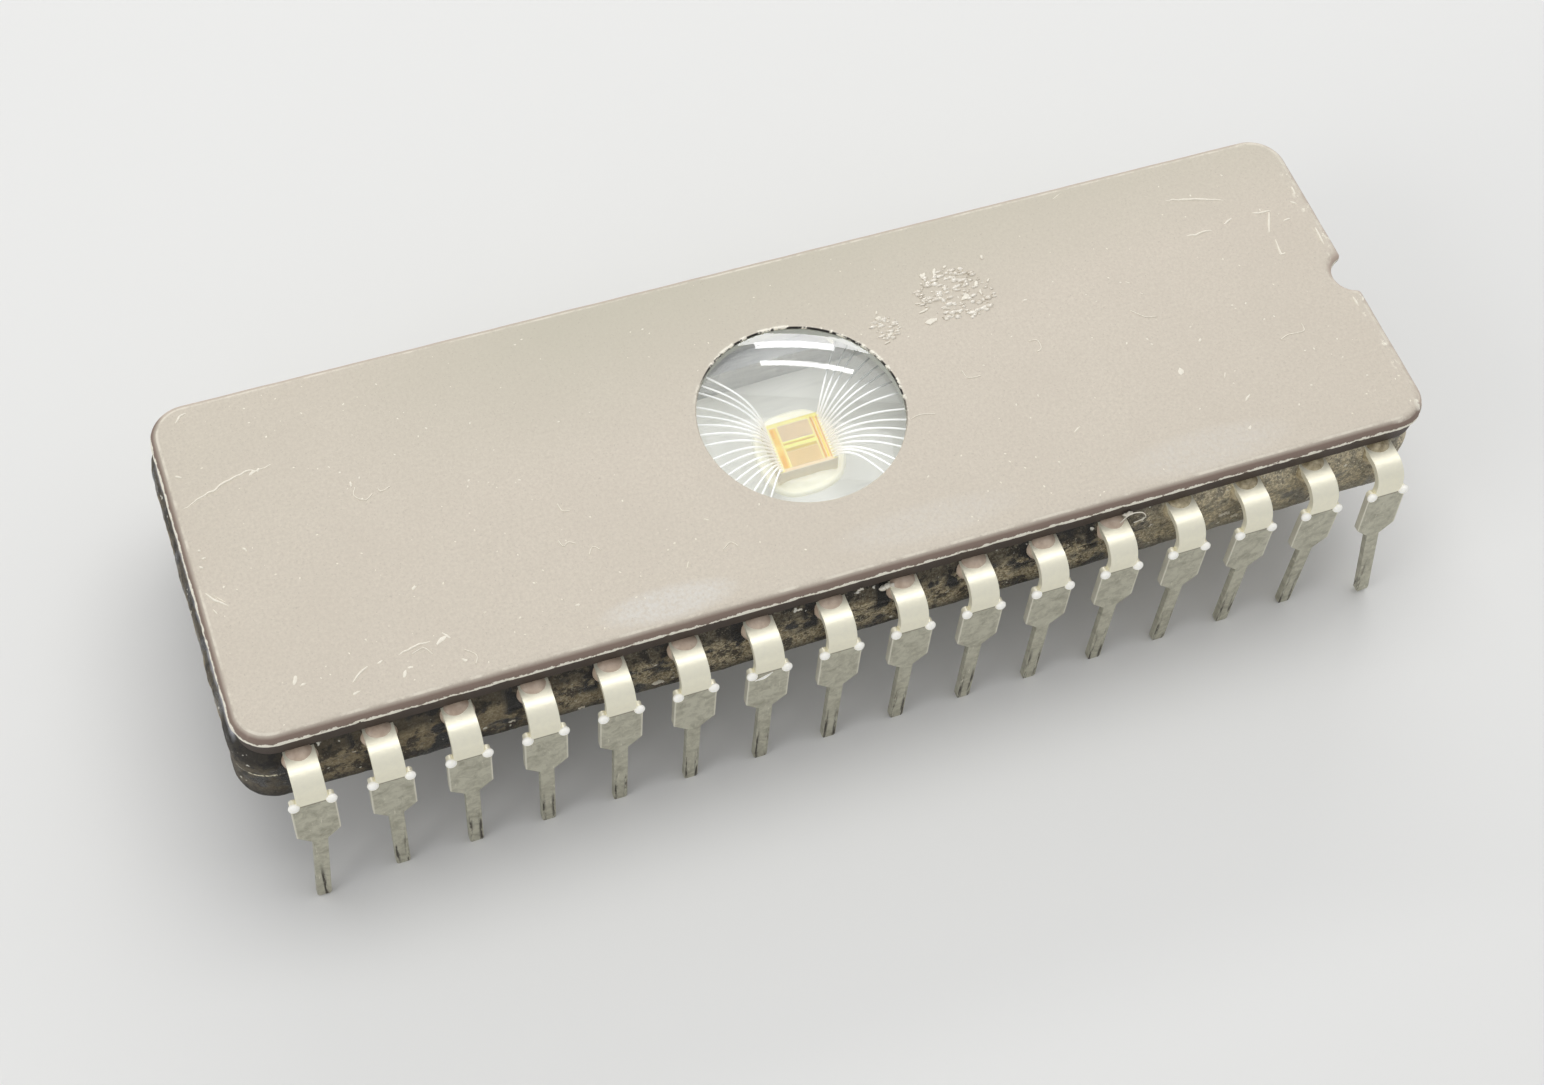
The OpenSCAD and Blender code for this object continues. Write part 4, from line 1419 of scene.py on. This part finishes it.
def flake(shell, x, y, length, width, turn, low, chance):
    # A closed ragged chip lying on the lid
    count, rims = 9, []
    shapes = [chance.uniform(0.55, 1.15) for k in range(count)]
    for share, rise in ((1.0, 0.0), (1.0, 0.012), (0.55, 0.024)):
        row = []
        for k in range(count):
            a = 2 * math.pi * k / count
            u = math.cos(a) * length / 2 * shapes[k] * share
            v = math.sin(a) * width / 2 * shapes[k] * share
            row.append((*turned(x, y, u, v, turn), low + rise))
        rims.append(shell.ring(row))
    shell.close(rims)


def curve(points, z, steps=6):
    # A smooth path through flat points
    path = []
    ends = [points[0]] + points + [points[-1]]
    for a, b, c, d in zip(ends, ends[1:], ends[2:], ends[3:]):
        for i in range(steps):
            t = i / steps
            path.append(Vector([
                0.5 * (2 * q + (r - p) * t + (2 * p - 5 * q + 4 * r - e) * t * t + (3 * q - p - 3 * r + e) * t ** 3)
                for p, q, r, e in zip(a, b, c, d)
            ] + [z]))
    path.append(Vector((*points[-1], z)))
    return path


def makeFaceMarks(shape, material):
    # Loose glass chips on the front face, and fibres hanging by the leads
    shell = Shell()
    for i, (x, z, size) in enumerate(shape["faceChips"]):
        for k in range(3):
            place = (x + 0.9 * size * (k - 1), shape["faceY"], z + 0.35 * size * (k % 2))
            ball(shell, place, (size * (0.9 - 0.2 * k), 0.5 * size, size * (0.55 + 0.1 * k)), 6, 10, 0.6, i * 2.3 + k)
    for points in shape["faceFibres"]:
        path = [Vector((v.x, shape["faceY"] - shape["fibreLift"], v.y)) for v in curve(points, 0.0)]
        tube(shell, path, shape["fibreRadius"], 6)
    declare(shell.piece("faceMarks", material))


def makeDust(shape, material, residueLook):
    chance = random.Random(shape["seed"])
    shell = Shell()
    for x, y, length, width, turn in shape["flakes"]:
        flake(shell, x, y, length, width, turn, shape["low"], chance)
    for points in shape["scratches"]:
        path = [v + Vector((0, 0.06 * noise.noise(v * 5), 0)) for v in curve(points, shape["low"])]
        tube(shell, path, lambda t: shape["scratchRadius"] * (0.35 + 0.65 * math.sin(math.pi * t)), 6)
    declare(shell.piece("lidDust", material, flat=True))
    fibres = [curve(points, shape["low"] + 0.012) for points in shape["fibres"]]
    values = {"Radius": shape["fibreRadius"] * mm, "Sides": 6}
    declare(nodePiece("lidFibres", sweepTree, fibres, values, material))
    for name, startX, endX, count, seed in shape["specks"]:
        half = shape["speckHalf"]
        corners = [[(x, y, shape["low"]) for x, y in ((startX, -half), (endX, -half), (endX, half), (startX, half))]]
        values = {
            "Density": count / ((endX - startX) * 2 * half * mm * mm), "Smallest": shape["speckSizes"][0] * mm,
            "Largest": shape["speckSizes"][1] * mm, "Clear": shape["speckClear"] * mm, "Seed": seed,
        }
        declare(nodePiece(name, speckTree, corners, values, material, faces=[(0, 1, 2, 3)], flat=True))

    shell = Shell()
    for cx, cy, halfLength, halfWidth, turn, lumps in shape["residue"]:
        for i in range(lumps):
            around, out = chance.uniform(0, 2 * math.pi), chance.random() ** 0.4
            u, v = math.cos(around) * out * halfLength, math.sin(around) * out * halfWidth
            x, y = turned(cx, cy, u, v, turn)
            size = chance.uniform(*shape["lumpSizes"])
            radii = (size * chance.uniform(0.8, 1.8), size * chance.uniform(0.5, 1.0), 0.02 + size * 0.3)
            ball(shell, (x, y, shape["low"] + 0.004), radii, 6, 12, 0.5, i * 1.3)
    declare(shell.piece("lidResidue", residueLook))

    shell = Shell()
    for x, y, length, width, turn in shape["crumbs"]:
        flake(shell, x, y, 1.3 * length, 1.5 * width, turn, shape["low"] + 0.02, chance)
    declare(shell.piece("lidCrumbs", material, flat=True))


makeFaceMarks(dustShape, dustMaterial)
makeDust(dustShape, dustMaterial, residueMaterial)
print("dust laid")


# Floor and light
stageSettings = {
    "floorColour": (236, 235, 231),
    "floorRoughness": 0.8,
    "worldColour": (0.93, 0.95, 1.0),
    "worldStrength": 0.5,
    "bars": [
        # name, start and end of its reflection on the dome in mm, distance, thickness, watts
        ("veil", (-3.45, 0.7), (3.45, -0.7), 300, 260, 0.36),
        ("barFar", (-0.59, 3.06), (1.99, 2.14), 300, 12, 0.045),
        ("barNear", (-0.69, 2.23), (2.22, 0.95), 300, 9, 0.046),
    ],
    "lamps": [
        # name, place in mm, size in mm, watts
        ("softboxAbove", (20, 60, 260), (260, 160), 0.3),
        ("stripBehind", (60, 190, 130), (200, 14), 0.08),
        ("fillLeft", (-200, -60, 140), (120, 120), 0.09),
    ],
}


def addLamp(name, length, width, watts):
    lampData = bpy.data.lights.new(name, "AREA")
    lampData.shape = "RECTANGLE"
    lampData.size, lampData.size_y = length * mm, width * mm
    lampData.energy = watts
    return inScene(name, lampData)


def makeBar(name, start, end, distance, thickness, watts):
    # A strip lamp placed so that the dome mirrors it from start to end; it lights only by reflection
    rim, rise = lensShape["rim"], lensShape["rise"]
    sphere = domeSphere(rise)
    middle = Vector((0, 0, rim + rise - sphere))
    eye = Vector(cameraSettings["place"])
    ends = []
    for x, y in (start, end):
        point = Vector((x, y, middle.z + math.sqrt(sphere ** 2 - x * x - y * y)))
        normal = (point - middle).normalized()
        view = (eye - point).normalized()
        ends.append(point + distance * (2 * normal.dot(view) * normal - view))
    along = (ends[1] - ends[0]).normalized()
    centre = (ends[0] + ends[1]) / 2
    back = (centre - Vector((0, 0, rim))).normalized()
    across = back.cross(along).normalized()
    back = along.cross(across)
    lamp = addLamp(name, (ends[1] - ends[0]).length, thickness, watts)
    lamp.matrix_world = Matrix.Translation(centre * mm) @ Matrix((along, across, back)).transposed().to_4x4()
    lamp.visible_diffuse = False
    lamp.visible_transmission = False


def makeStage(settings):
    bpy.ops.mesh.primitive_plane_add(size=3, location=(0, 0, 0))
    floor = bpy.context.object
    floor.name = "floor"
    pale = Finish("paleFloor")
    pale.set({"Base Color": settings["floorColour"], "Roughness": settings["floorRoughness"]})
    paint(floor, pale.material)

    world = bpy.data.worlds.new("studio")
    bpy.context.scene.world = world
    world.use_nodes = True
    sky = world.node_tree.nodes["Background"]
    sky.inputs["Color"].default_value = (*settings["worldColour"], 1)
    sky.inputs["Strength"].default_value = settings["worldStrength"]

    for name, place, size, watts in settings["lamps"]:
        lamp = addLamp(name, *size, watts)
        lamp.location = Vector(place) * mm
        aim = Vector((0, 0, 6)) * mm - lamp.location
        lamp.rotation_euler = aim.to_track_quat("-Z", "Y").to_euler()
    for name, start, end, distance, thickness, watts in settings["bars"]:
        makeBar(name, start, end, distance, thickness, watts)
    bpy.context.scene.view_settings.view_transform = "Standard"


makeStage(stageSettings)
print("stage set")
